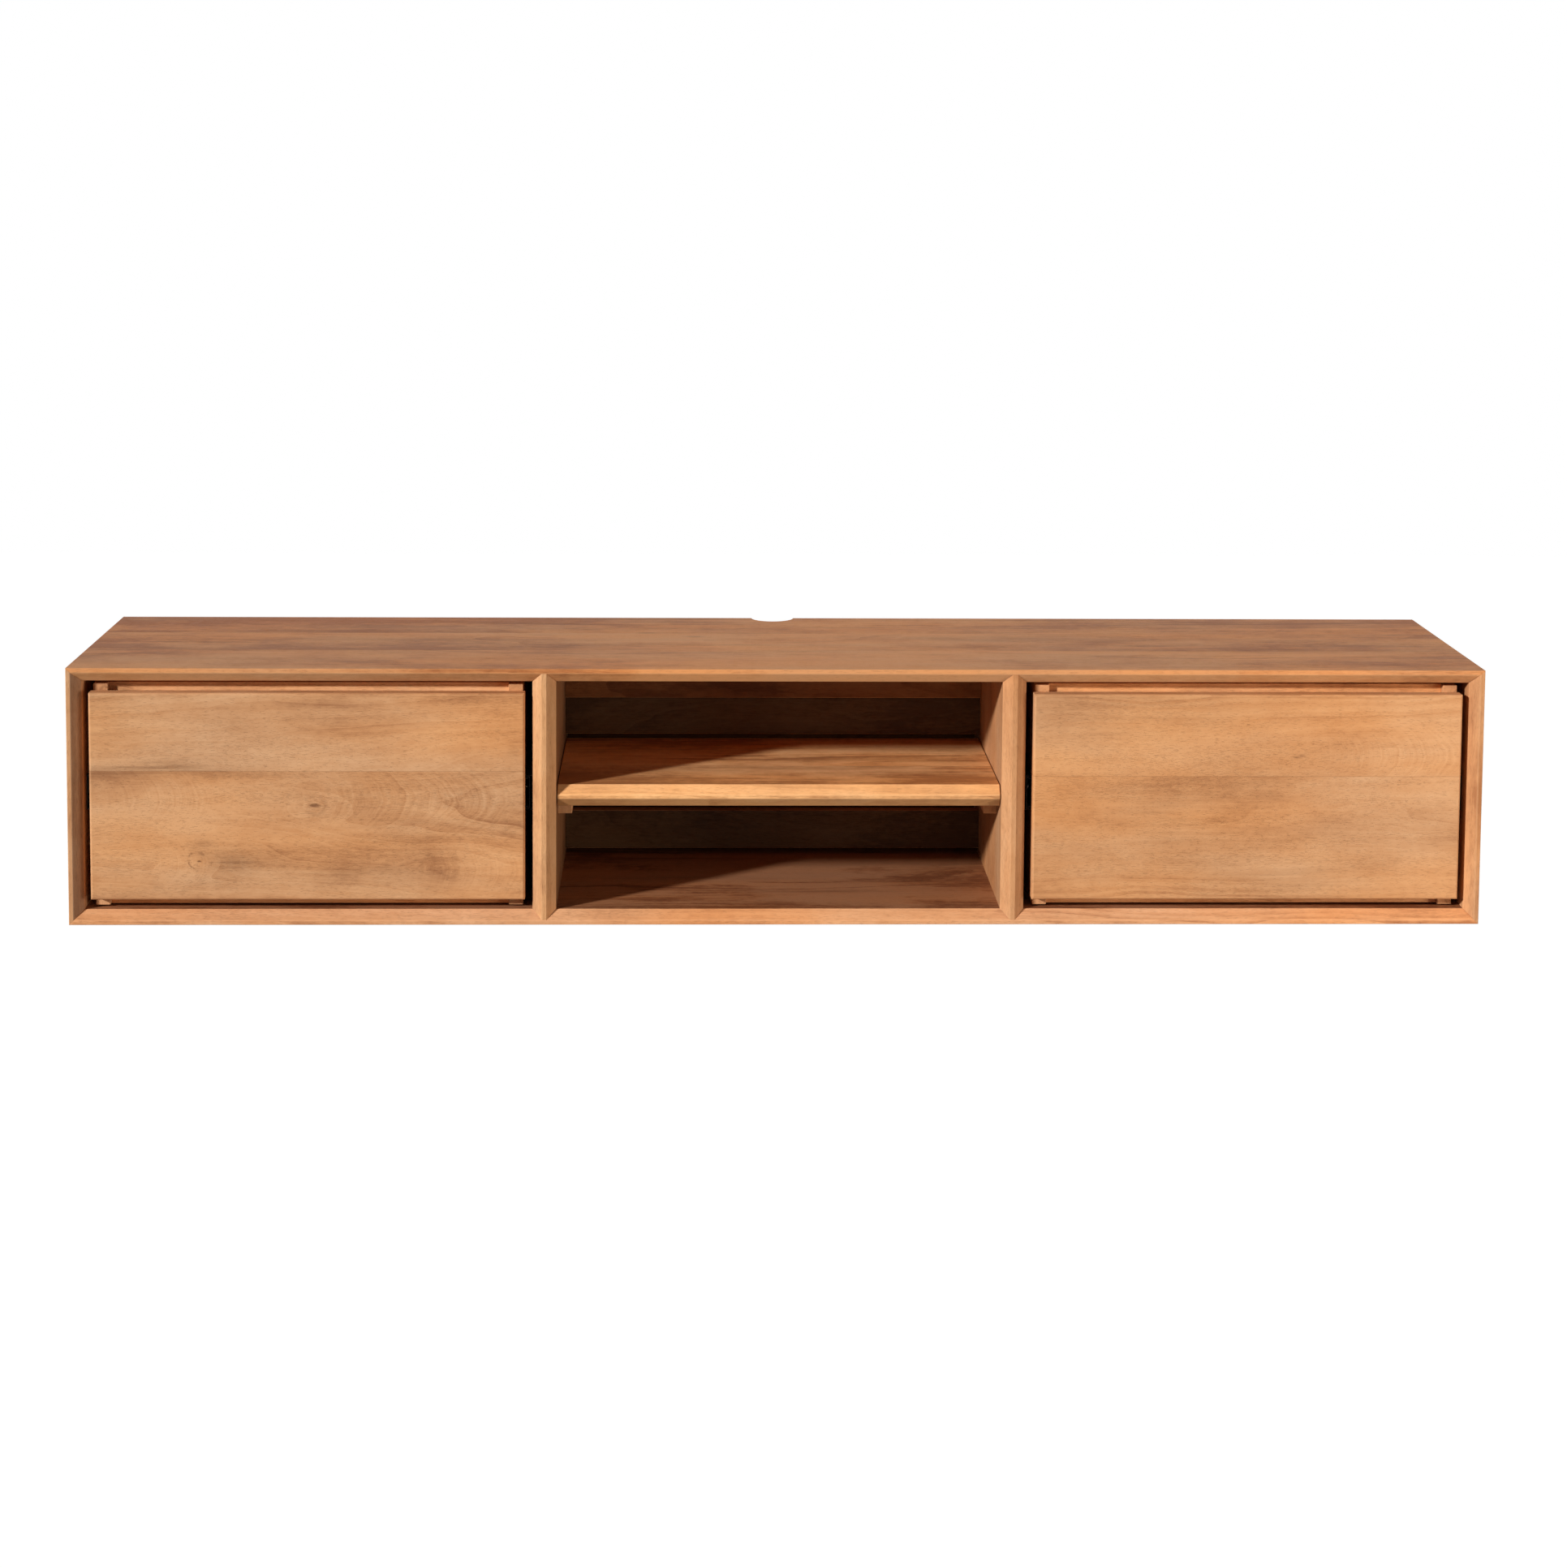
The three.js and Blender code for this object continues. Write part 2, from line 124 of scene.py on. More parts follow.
class HardwareSettings(bpy.types.PropertyGroup):
    """Sizes and colours of the slides and screws"""

    slide_tone: tone("Slide steel", "Black coated sheet of the drawer slides", (0.022, 0.021, 0.02))
    screw_tone: tone("Screw steel", "Yellow-passivated screws", (0.62, 0.5, 0.27))
    sheet_thickness: length("Slide sheet", "Thickness of the slides' sheet", 0.0014)
    hole_radius: length("Punched hole", "Radius of the holes punched in the slides", 0.0023)
    hole_pitch: length("Hole pitch", "Distance between punched holes", 0.032)
    first_hole: length("First hole", "From a slide's front end to its first hole", 0.022)
    shank_radius: length("Shank", "Radius of a screw's shank", 0.002)
    head_radius: length("Head radius", "Radius of the heads that clamp boards", 0.004)
    head_height: length("Head height", "Height of the heads that clamp boards", 0.0024)
    slide_head_radius: length("Slide head radius", "Radius of the heads inside the slides", 0.0034)
    slide_head_height: length("Slide head height", "Height of the heads inside the slides", 0.0016)
    slide_screw_length: length("Slide screw", "Length of the slides' screws under the head", 0.012)


class StageSettings(bpy.types.PropertyGroup):
    """Camera, lamps and floor"""

    camera_place: location("Camera place", "From the lower front edge's middle", (-0.1169, -3.8283, 1.0258))
    camera_pan: angle("Pan", "Turn to the left", -1.771)
    camera_tilt: angle("Tilt", "Turn upwards", -5.412)
    camera_roll: angle("Roll", "Turn about the view", 0.418)
    focal_length: FloatProperty(name="Focal length", description="In mm, on a 36 mm sensor", default=70.33)
    lens_shift: FloatProperty(name="Lens shift", description="Share of the picture's height", default=-0.24)
    key_direction: FloatVectorProperty(
        name="Key direction",
        description="From the console to the key lamp",
        subtype="DIRECTION",
        size=3,
        default=(-1.27, -1.0, 0.575),
    )
    key_tone: tone("Key", "Share of a colour that it returns face on", (1.19, 1.165, 1.14), 2.0)
    key_softness: angle("Key softness", "Angle that the key lamp fills", 4.5)
    side_place: location("Side lamp place", "Lamp at the right side, from the origin", (3.2, -2.0, -0.1))
    side_tone: tone("Side lamp", "Share of a colour that it returns face on", (0.38, 0.32, 0.26), 2.0)
    side_size: length("Side lamp size", "Edge of the square side lamp", 1.2)
    fill_tone: tone("Fill", "Light from all round", (0.051, 0.047, 0.039), 2.0)
    floor_drop: length("Floor drop", "Height of the console's underside above the floor", 1.3)


# Node helpers


def add(tree, kind, settings=None, inputs=None):
    """Adds a node, sets its own settings, and sets or links its inputs by name or index"""
    node = tree.nodes.new(kind)
    for name, value in (settings or {}).items():
        setattr(node, name, value)
    for key, value in (inputs or {}).items():
        socket = node.inputs[key]
        if isinstance(value, bpy.types.NodeSocket):
            tree.links.new(value, socket)
        else:
            socket.default_value = value
    return node


def made(tree, kind, inputs=None, settings=None):
    """The first output of a new node"""
    return add(tree, kind, settings, inputs).outputs[0]


def calc(tree, operation, *values):
    return made(tree, "ShaderNodeMath", dict(enumerate(values)), {"operation": operation})


def plus(tree, first, second):
    return calc(tree, "ADD", first, second)


def minus(tree, first, second):
    return calc(tree, "SUBTRACT", first, second)


def over(tree, first, second):
    return calc(tree, "DIVIDE", first, second)


def times(tree, product, *factors):
    for factor in factors:
        product = calc(tree, "MULTIPLY", product, factor)
    return product


def times_plus(tree, value, factor, rest):
    return calc(tree, "MULTIPLY_ADD", value, factor, rest)


def summed(tree, total, *parts):
    """The total with each part added in its share"""
    for part, share in parts:
        total = times_plus(tree, part, share, total)
    return total


def vector_calc(tree, operation, *vectors):
    node = add(tree, "ShaderNodeVectorMath", {"operation": operation}, dict(enumerate(vectors)))
    return node.outputs["Value" if operation in ("LENGTH", "DOT_PRODUCT") else "Vector"]


def vector(tree, x=0.0, y=0.0, z=0.0):
    return made(tree, "ShaderNodeCombineXYZ", {0: x, 1: y, 2: z})


def length_of(tree, offset, shares):
    """The length of an offset, each axis counted in its share"""
    return vector_calc(tree, "LENGTH", vector_calc(tree, "MULTIPLY", offset, shares))


def stretch(tree, place, along, across):
    """The place in waves of noise: so many to the metre along the grain, and so many across it"""
    return vector_calc(tree, "MULTIPLY", place, (along, across, across))


def noise(tree, place, detail=2.0, roughness=0.5):
    inputs = {"Vector": place, "Scale": 1.0, "Detail": detail, "Roughness": roughness}
    return add(tree, "ShaderNodeTexNoise", {"noise_dimensions": "3D"}, inputs).outputs


def grain(tree, place, along, across, detail=2.0, roughness=0.5):
    """Noise from 0 to 1, with its waves to the metre along and across the grain"""
    return noise(tree, stretch(tree, place, along, across), detail, roughness)[0]


def scatter(tree, place, along, across, detail, roughness=0.5):
    """The same noise, about 0"""
    return minus(tree, grain(tree, place, along, across, detail, roughness), 0.5)


def drift(tree, place, along, across, detail, roughness=0.5):
    """Three such noises as a vector"""
    cloud = noise(tree, stretch(tree, place, along, across), detail, roughness)[1]
    return vector_calc(tree, "SUBTRACT", cloud, (0.5, 0.5, 0.5))


def ripple(tree, value, scale, detail=2.0, roughness=0.5):
    """Noise along one value, from 0 to 1"""
    inputs = {"W": value, "Scale": scale, "Detail": detail, "Roughness": roughness}
    return made(tree, "ShaderNodeTexNoise", inputs, {"noise_dimensions": "1D"})


def chance(tree, number):
    """A value from 0 to 1 of each number's own"""
    return made(tree, "ShaderNodeTexWhiteNoise", {"W": number}, {"noise_dimensions": "1D"})


def ease(tree, value, low, high, to_low=0.0, to_high=1.0):
    """Smooth step from one value to another"""
    inputs = {"Value": value, "From Min": low, "From Max": high, "To Min": to_low, "To Max": to_high}
    return made(tree, "ShaderNodeMapRange", inputs, {"interpolation_type": "SMOOTHSTEP"})


def blend(tree, share, first, second, kind="MIX"):
    settings = {"data_type": "RGBA", "blend_type": kind}
    return add(tree, "ShaderNodeMix", settings, {"Factor": share, 6: first, 7: second}).outputs[2]


def fade(tree, distance):
    """1 at no distance, falling smoothly to nothing past 1"""
    return calc(tree, "EXPONENT", times(tree, distance, distance, -1.0))


def colour(shade):
    return (*shade, 1.0)


def new_group(name, kind, inputs, outputs):
    """A node group with its named sockets, and its input and output nodes"""
    group = bpy.data.node_groups.new(name, kind)
    for direction, sockets in (("INPUT", inputs), ("OUTPUT", outputs)):
        for label, socket_type in sockets.items():
            group.interface.new_socket(name=label, in_out=direction, socket_type="NodeSocket" + socket_type)
    return group, group.nodes.new("NodeGroupInput").outputs, group.nodes.new("NodeGroupOutput").inputs


def shared(name, make, *given):
    """The node group of that name, made at its first use"""
    return bpy.data.node_groups.get(name) or make(*given)


def new_material(name):
    material = bpy.data.materials.new(name)
    material.use_nodes = True
    material.node_tree.nodes.clear()
    return material, material.node_tree


def own_place(tree):
    return add(tree, "ShaderNodeTexCoord").outputs["Object"]


def marked(tree, name):
    """1 on the faces that carry a mark, 0 on the others"""
    return add(tree, "ShaderNodeAttribute", {"attribute_name": name}).outputs["Fac"]


def bump(tree, height, depth):
    return made(tree, "ShaderNodeBump", {"Distance": depth, "Height": height})


def surface(tree, inputs):
    """Ends a material with its shader"""
    shader = add(tree, "ShaderNodeBsdfPrincipled", None, inputs)
    add(tree, "ShaderNodeOutputMaterial", None, {"Surface": shader.outputs["BSDF"]})


# Timber

# What a knot, and a patch of crescents or stain, lists after its place along and across the face
KNOT_SIZES = ("Radius", "Heart", "Ring", "Smudge", "Reach")
PATCH_SIZES = ("Length", "Width", "Strength")

KNOT_PULL = -0.8  # share of the offset by which growth lines bend round a knot
KNOT_LIFT = 0.022  # rise of the growth lines towards a knot
KNOT_SWAY = (0.014, 0.014, 0)  # wavering of a knot's outline
SLOW_WANDER = (0, 0.075, 0.075)  # wandering of the pith along the board
QUICK_WANDER = (0, 0.009, 0.009)
PLANK_LEAP = 1.37  # along the grain, from the figure of one plank to that of the next
PLANK_RISE = 0.043  # from the pith of one plank to that of the next
PLANK_SHADES = 0.22  # between the palest and the darkest plank
GLUE_LINE = (0.0009, 0.0001)  # from its edge to its middle
MIDDLE_SHADE = 0.56  # of wood without any figure, from 0 for dark to 1 for pale
OILED_ROUGHNESS = 0.58
OILED_SPECULAR = 0.22


def feature_group(name, sizes, totals):
    """A group that adds one feature to a board's totals, and the offset on the face from its centre"""
    outputs = dict.fromkeys(totals, "Float")
    inputs = {"Place": "Vector", "Centre": "Vector", **dict.fromkeys(sizes, "Float"), **outputs}
    tree, given, result = new_group(name, "ShaderNodeTree", inputs, outputs)
    offset = vector_calc(tree, "SUBTRACT", given["Place"], given["Centre"])
    return tree, given, result, vector_calc(tree, "MULTIPLY", offset, (1, 1, 0))


def knot_group():
    """Spreads the growth lines round a knot, darkens the wood about it, and draws its bark ring and heart"""
    tree, given, result, offset = feature_group("Knot", KNOT_SIZES, ("Shift", "Lift", "Core", "Shade"))
    place = given["Place"]
    oval = length_of(tree, offset, (0.42, 1, 0))
    pull = fade(tree, over(tree, oval, given["Reach"]))
    shift = times(tree, pull, KNOT_PULL, vector_calc(tree, "DOT_PRODUCT", offset, (0, 1, 0)))
    tree.links.new(plus(tree, shift, given["Shift"]), result["Shift"])
    near = fade(tree, over(tree, oval, times(tree, given["Reach"], 0.6)))
    tree.links.new(times_plus(tree, near, KNOT_LIFT, given["Lift"]), result["Lift"])

    sway = drift(tree, place, 60, 80, 3.0, 0.6)
    round_knot = vector_calc(tree, "MULTIPLY", offset, (0.8, 1, 0))
    swayed = vector_calc(tree, "MULTIPLY_ADD", sway, KNOT_SWAY, round_knot)
    outward = over(tree, vector_calc(tree, "LENGTH", swayed), given["Radius"])
    smudge = times(tree, fade(tree, outward), given["Smudge"])
    tree.links.new(minus(tree, given["Shade"], smudge), result["Shade"])

    line = fade(tree, times(tree, minus(tree, outward, 1.0), 6.0))
    broken = ease(tree, grain(tree, place, 55, 55), 0.38, 0.58)
    bark = times(tree, line, broken, given["Ring"])
    ragged = noise(tree, vector_calc(tree, "MULTIPLY", place, (190, 260, 40)), 3.0, 0.65)[0]
    edge = times(tree, given["Radius"], plus(tree, ragged, 0.45), given["Heart"])
    heart = ease(tree, over(tree, length_of(tree, offset, (0.38, 1, 0)), edge), 1.2, 0.3)
    core = calc(tree, "MAXIMUM", calc(tree, "MAXIMUM", heart, bark), given["Core"])
    tree.links.new(core, result["Core"])
    return tree


def patch_group(name, total):
    """A feature group, with the place in shares of the patch's length and width"""
    tree, given, result, offset = feature_group(name, PATCH_SIZES, (total,))
    along = over(tree, vector_calc(tree, "DOT_PRODUCT", offset, (1, 0, 0)), given["Length"])
    across = over(tree, vector_calc(tree, "DOT_PRODUCT", offset, (0, 1, 0)), given["Width"])
    return tree, given, result, along, across


def crescent_group():
    """Adds the nested crescents of curly grain beside a knot to the shade"""
    tree, given, result, along, across = patch_group("Crescents", "Shade")
    reach = vector_calc(tree, "LENGTH", vector(tree, along, across))
    bow = times(tree, across, across, 0.24)
    frayed = times_plus(tree, grain(tree, given["Place"], 26, 34, 3.0), 0.2, bow)
    crests = minus(tree, ripple(tree, plus(tree, along, frayed), 17.0, 3.0, 0.6), 0.5)
    share = times(tree, fade(tree, reach), given["Strength"], crests)
    tree.links.new(plus(tree, share, given["Shade"]), result["Shade"])
    return tree


def stain_group():
    """Adds a long smudge that breaks up along the fibres to the stain"""
    tree, given, result, along, across = patch_group("Stain", "Stain")
    place = given["Place"]
    bent = times_plus(tree, scatter(tree, place, 9, 9, 1.0), 2.2, across)
    reach = vector_calc(tree, "LENGTH", vector(tree, along, bent))
    streaky = ease(tree, grain(tree, place, 11, 240, 3.0, 0.6), 0.3, 0.7, 0.25, 1.0)
    share = times(tree, fade(tree, reach), streaky, given["Strength"])
    tree.links.new(calc(tree, "MAXIMUM", share, given["Stain"]), result["Stain"])
    return tree


def growth(tree, radius, pitch):
    """Growth rings across a radius, each darkening to a sharp end, and some stronger than others"""
    uneven = ripple(tree, radius, 0.35 / pitch, 1.0)
    count = times_plus(tree, uneven, 2.5, over(tree, radius, pitch))
    late = calc(tree, "POWER", calc(tree, "FRACT", count), 3.0)
    return times(tree, late, chance(tree, calc(tree, "FLOOR", count)))


def timber_group(wood):
    """Oiled timber with growth lines round a pith that runs along the first axis"""
    values = ("Shift", "Lift", "Core", "Shade", "Stain", "Seam", "Wear", "Figure")
    inputs = {"Place": "Vector", "Rooted": "Vector", **dict.fromkeys(values, "Float")}
    outputs = {"Color": "Color", "Roughness": "Float", "Height": "Float"}
    tree, given, result = new_group("Oiled timber", "ShaderNodeTree", inputs, outputs)
    place = given["Place"]

    slow = vector_calc(tree, "MULTIPLY", drift(tree, place, 1.7, 6.0, 2.0), SLOW_WANDER)
    quick = vector_calc(tree, "MULTIPLY", drift(tree, place, 9, 32, 2.0, 0.55), QUICK_WANDER)
    grown = vector_calc(tree, "ADD", given["Rooted"], vector_calc(tree, "ADD", slow, quick))
    grown = vector_calc(tree, "ADD", grown, vector(tree, 0.0, given["Shift"]))
    radius = plus(tree, length_of(tree, grown, (0, 1, 1)), given["Lift"])

    rings = growth(tree, radius, wood.ring_pitch)
    threads = minus(tree, ripple(tree, radius, 2.2 / wood.ring_pitch, 5.0, 0.7), 0.5)
    lines = times_plus(tree, rings, -0.4, times(tree, threads, 0.6))
    depth = times(tree, lines, ease(tree, grain(tree, place, 2.6, 9, 1.0), 0.35, 0.65, 0.3, 1.0))
    streaks = scatter(tree, place, 5, 120, 4.0, 0.65)
    fibres = scatter(tree, place, 45, 620, 3.0, 0.7)
    clouds = scatter(tree, place, 2.2, 8, 2.5)
    curls = scatter(tree, place, 14, 30, 3.0, 0.55)
    mottle = scatter(tree, place, 75, 115, 3.0, 0.6)
    parts = ((streaks, 0.45), (fibres, 0.4), (clouds, 1.5), (curls, 0.75), (mottle, 0.36))
    depth = summed(tree, depth, *parts, (given["Shade"], 1.0))
    shade = times_plus(tree, depth, given["Figure"], MIDDLE_SHADE)
    ramp = add(tree, "ShaderNodeValToRGB", None, {"Fac": shade})
    stops = ramp.color_ramp.elements
    stops[0].position, stops[0].color = 0.06, colour(wood.dark_tone)
    stops[1].position, stops[1].color = 0.94, colour(wood.light_tone)
    stops.new(0.5).color = colour(wood.middle_tone)
    elsewhere = vector_calc(tree, "ADD", stretch(tree, place, 2.4, 9), (5, 5, 5))
    warmth = ease(tree, noise(tree, elsewhere, 3.0)[0], 0.3, 0.7)
    hue = blend(tree, warmth, (0.94, 1.0, 1.1, 1.0), (1.06, 0.985, 0.87, 1.0))
    tint = blend(tree, 1.0, ramp.outputs["Color"], hue, "MULTIPLY")

    crowding = ease(tree, grain(tree, place, 5, 60), 0.3, 0.7, 0.66, 0.575)
    pores = ease(tree, minus(tree, grain(tree, place, 120, 1500, 1.0), crowding), 0.0, 0.06)
    heart = times(tree, given["Core"], times_plus(tree, ripple(tree, radius, 800.0), 0.6, 0.45))
    for share, reach in ((pores, 0.17), (heart, 1.0), (given["Stain"], 0.6), (given["Seam"], 0.2)):
        tint = blend(tree, times(tree, share, reach), tint, colour(wood.knot_tone))
    tint = blend(tree, times(tree, given["Wear"], 0.25), tint, colour(wood.light_tone))
    tree.links.new(tint, result["Color"])

    worn = times_plus(tree, given["Wear"], -0.08, OILED_ROUGHNESS)
    tree.links.new(summed(tree, worn, (fibres, 0.25), (pores, 0.2)), result["Roughness"])
    relief = summed(tree, times(tree, fibres, 0.5), (pores, -0.7), (streaks, 0.5))
    tree.links.new(summed(tree, relief, (given["Seam"], -0.8), (given["Core"], -0.6)), result["Height"])
    return tree


AXES = {"x": Vector((1, 0, 0)), "y": Vector((0, 1, 0)), "z": Vector((0, 0, 1))}


class Cut(NamedTuple):
    """How a board was cut, with places along and across its grain from the middle of its face"""

    grain: str
    face: str
    middle: tuple
    pith: tuple = (0.0, 0.06)
    tilt: float = 0.05
    seams: tuple = ()
    knots: tuple = ()
    crescents: tuple = ()
    stains: tuple = ()
    figure: float = 1.0
    tint: tuple = (1.0, 1.0, 1.0)
    # faces whose tint paints light or shade onto them
    sides: tuple = ()
    seed: int = 0


class Side(NamedTuple):
    """The faces of a board that point one way, what they keep of its tint, which paints light or shade onto
    them, and what they keep of its figure
    """

    way: tuple
    tint: tuple
    figure: float = 1.0


def board_axes(cut):
    """Rows of the turn from the console's axes to along the grain, across it, and out of the face"""
    along, through = AXES[cut.grain], AXES[cut.face]
    across = along.cross(through)
    return Matrix((along, across, along.cross(across)))


def planks(tree, cut, local):
    """The plank that a point lies in, counted across the board, and the glue lines between planks"""
    across = add(tree, "ShaderNodeSeparateXYZ", None, {0: local}).outputs[1]
    plank, seam = 0.0, 0.0
    for level in cut.seams:
        plank = plus(tree, calc(tree, "GREATER_THAN", across, level), plank)
        gap = calc(tree, "ABSOLUTE", minus(tree, across, level))
        seam = calc(tree, "MAXIMUM", ease(tree, gap, *GLUE_LINE), seam)
    return plank, seam


def spread(tree, group, features, labels, local, totals):
    """Runs a group over each feature of a board, adding to its totals"""
    for along, across, *sizes in features:
        inputs = {"Place": local, "Centre": (along, across, 0.0), **dict(zip(labels, sizes)), **totals}
        node = add(tree, "ShaderNodeGroup", {"node_tree": group}, inputs)
        totals = {label: node.outputs[label] for label in totals}
    return totals


def painted_side_light(tree, cut):
    """The tint and the strength of the figure, changed on the board's listed sides, whose tint paints light
    or shade onto them
    """
    tint, figure = colour(cut.tint), cut.figure
    for number, side in enumerate(cut.sides):
        painted_light_mask = marked(tree, f"side {number}")
        painted_light_tint = colour([whole * share for whole, share in zip(cut.tint, side.tint)])
        tint = blend(tree, painted_light_mask, tint, painted_light_tint)
        figure = times(tree, figure, times_plus(tree, painted_light_mask, side.figure - 1.0, 1.0))
    return tint, figure


def timber(name, cut, wood):
    """One board's own material"""
    material, tree = new_material(name)
    axes = board_axes(cut)
    middle = axes @ Vector(cut.middle)
    centring = {"Vector": own_place(tree), "Rotation": axes.to_euler(), "Location": -middle}
    local = made(tree, "ShaderNodeMapping", centring)
    plank, seam = planks(tree, cut, local)
    shade = 0.0
    if cut.seams:
        lot = chance(tree, plus(tree, plank, cut.seed + 0.5))
        shade = times_plus(tree, lot, PLANK_SHADES, -PLANK_SHADES / 2)

    place = vector_calc(tree, "ADD", local, vector(tree, times(tree, plank, PLANK_LEAP)))
    place = vector_calc(tree, "ADD", place, (0.731 * cut.seed, 0.417 * cut.seed, 0))
    tipping = {"Vector": local, "Rotation": (0, cut.tilt, 0), "Location": (0, -cut.pith[0], cut.pith[1])}
    rooted = made(tree, "ShaderNodeMapping", tipping)
    rooted = vector_calc(tree, "ADD", rooted, vector(tree, 0.0, 0.0, times(tree, plank, PLANK_RISE)))

    totals = {"Shift": 0.0, "Lift": 0.0, "Core": 0.0, "Shade": shade}
    knots = spread(tree, shared("Knot", knot_group), cut.knots, KNOT_SIZES, local, totals)
    totals = {"Shade": knots["Shade"]}
    curls = spread(tree, shared("Crescents", crescent_group), cut.crescents, PATCH_SIZES, local, totals)
    stains = spread(tree, shared("Stain", stain_group), cut.stains, PATCH_SIZES, local, {"Stain": 0.0})
    tint, figure = painted_side_light(tree, cut)
    inputs = {"Place": place, "Rooted": rooted, "Seam": seam, "Figure": figure, "Wear": marked(tree, "wear")}
    settings = {"node_tree": shared("Oiled timber", timber_group, wood)}
    body = add(tree, "ShaderNodeGroup", settings, inputs | knots | curls | stains).outputs
    finish = {
        "Base Color": blend(tree, 1.0, body["Color"], tint, "MULTIPLY"),
        "Roughness": body["Roughness"],
        "Normal": bump(tree, body["Height"], wood.grain_relief),
        "IOR": 1.45,
        "Specular IOR Level": OILED_SPECULAR,
    }
    surface(tree, finish)
    return material


# Steel

COAT_RELIEF = 0.02 * MILLIMETRE


def coated_steel(hardware):
    """Black electro-coated sheet with a faint orange peel, rubbed bright along its edges"""
    material, tree = new_material("Black coated steel")
    spot = own_place(tree)
    cloud = grain(tree, spot, 30, 30, 3.0)
    peel = grain(tree, spot, 900, 900)
    rubbed = ease(tree, grain(tree, spot, 160, 160, 3.0, 0.6), 0.5, 0.75, 0.0, 0.3)
    bare = times(tree, marked(tree, "wear"), rubbed)
    dark, pale = (colour([level * share for share in hardware.slide_tone]) for level in (0.55, 1.45))
    coat = blend(tree, cloud, dark, pale)
    finish = {
        "Base Color": blend(tree, bare, coat, (0.35, 0.34, 0.33, 1.0)),
        "Roughness": times_plus(tree, peel, 0.14, times_plus(tree, cloud, 0.12, 0.44)),
        "Normal": bump(tree, peel, COAT_RELIEF),
        "Metallic": bare,
        "Specular IOR Level": 0.3,
    }
    surface(tree, finish)
    return material


def passivated_steel(hardware):
    """Yellow-passivated steel that turns from gold to a rosy tint in patches"""
    material, tree = new_material("Yellow passivated steel")
    spot = own_place(tree)
    rosy = ease(tree, grain(tree, spot, 260, 260), 0.35, 0.65)
    scratch = grain(tree, spot, 2600, 700, 3.0, 0.6)
    red, green, blue = hardware.screw_tone
    finish = {
        "Base Color": blend(tree, rosy, (red, green, blue, 1.0), (red, 0.82 * green, 1.25 * blue, 1.0)),
        "Roughness": times_plus(tree, scratch, 0.28, 0.22),
        "Normal": bump(tree, scratch, COAT_RELIEF),
        "Metallic": 1.0,
    }
    surface(tree, finish)
    return material


# Boards and sheets

WELD_REACH = 0.01 * MILLIMETRE
JOINT_WIDTH = 0.6 * MILLIMETRE  # an edge this near to another part lies in a joint
FLAT_TURN = math.radians(1)
SHARP_TURN = math.radians(20)
SAME_WAY = 0.9  # cosine of the turn up to which a face counts as pointing a side's way


def packed_shape(node):
    shape = bmesh.new()
    shape.from_mesh(frame["nodes"][node].data)
    return shape


def welded(node):
    """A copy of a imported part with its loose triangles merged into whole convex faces"""
    shape = packed_shape(node)
    bmesh.ops.remove_doubles(shape, verts=shape.verts, dist=WELD_REACH)
    bmesh.ops.dissolve_limit(shape, angle_limit=FLAT_TURN, verts=shape.verts, edges=shape.edges)
    bmesh.ops.connect_verts_concave(shape, faces=shape.faces)
    return shape


def search_trees(names):
    """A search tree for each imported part"""
    trees = {}
    for name in names:
        shape = packed_shape(name)
        trees[name] = BVHTree.FromBMesh(shape)
        shape.free()
    return trees


def in_joint(edge, trees):
    """True where the middle of an edge lies against another part"""
    middle = (edge.verts[0].co + edge.verts[1].co) / 2
    return any(tree.find_nearest(middle, JOINT_WIDTH)[0] is not None for tree in trees)


def eased(node, radius, joint_radius, segments, trees):
    """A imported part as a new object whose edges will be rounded, the rounded faces in their own slot"""
    shape = welded(node)
    others = [tree for name, tree in trees.items() if name != node]
    weights = shape.edges.layers.float.new("bevel_weight_edge")
    for edge in shape.edges:
        sharp = edge.is_manifold and edge.calc_face_angle() > SHARP_TURN
        if sharp and edge.calc_length() > 4 * radius:
            edge[weights] = joint_radius / radius if in_joint(edge, others) else 1.0
        elif sharp:
            edge.smooth = False
    mesh = bpy.data.meshes.new(node)
    shape.to_mesh(mesh)
    shape.free()
    mesh.materials.append(None)
    mesh.materials.append(None)
    piece = new_piece(node + "_eased", mesh)
    bevel = piece.modifiers.new("Eased edges", "BEVEL")
    bevel.limit_method = "WEIGHT"
    bevel.width = radius
    bevel.segments = segments
    bevel.material = 1
    bevel.use_clamp_overlap = True
    bevel.harden_normals = True
    return piece


def new_piece(name, data):
    piece = bpy.data.objects.new(name, data)
    bpy.context.scene.collection.objects.link(piece)
    return piece


def baked(piece):
    """The piece with its modifiers turned into plain mesh"""
    graph = bpy.context.evaluated_depsgraph_get()
    shape = piece.evaluated_get(graph)
    mesh = bpy.data.meshes.new_from_object(shape, preserve_all_data_layers=True, depsgraph=graph)
    piece.modifiers.clear()
    piece.data = mesh
    return piece


def stand_for(piece, name, nodes, body):
    """Names a finished piece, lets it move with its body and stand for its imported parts"""
    piece.name = name
    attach(piece, body)
    if nodes:
        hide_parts(*nodes)


def mark_faces(mesh, name, values):
    mesh.attributes.new(name, "FLOAT", "FACE").data.foreach_set("value", [float(value) for value in values])


def reach_into_joints(mesh, cut, reach):
    """Lengthens a board along its grain by the same reach at both ends"""
    axis = AXES[cut.grain]
    middle = axis.dot(Vector(cut.middle))
    levels = [axis.dot(vertex.co) - middle for vertex in mesh.vertices]
    longest = max(levels)
    for vertex, level in zip(mesh.vertices, levels):
        vertex.co += axis * (reach * level / longest)


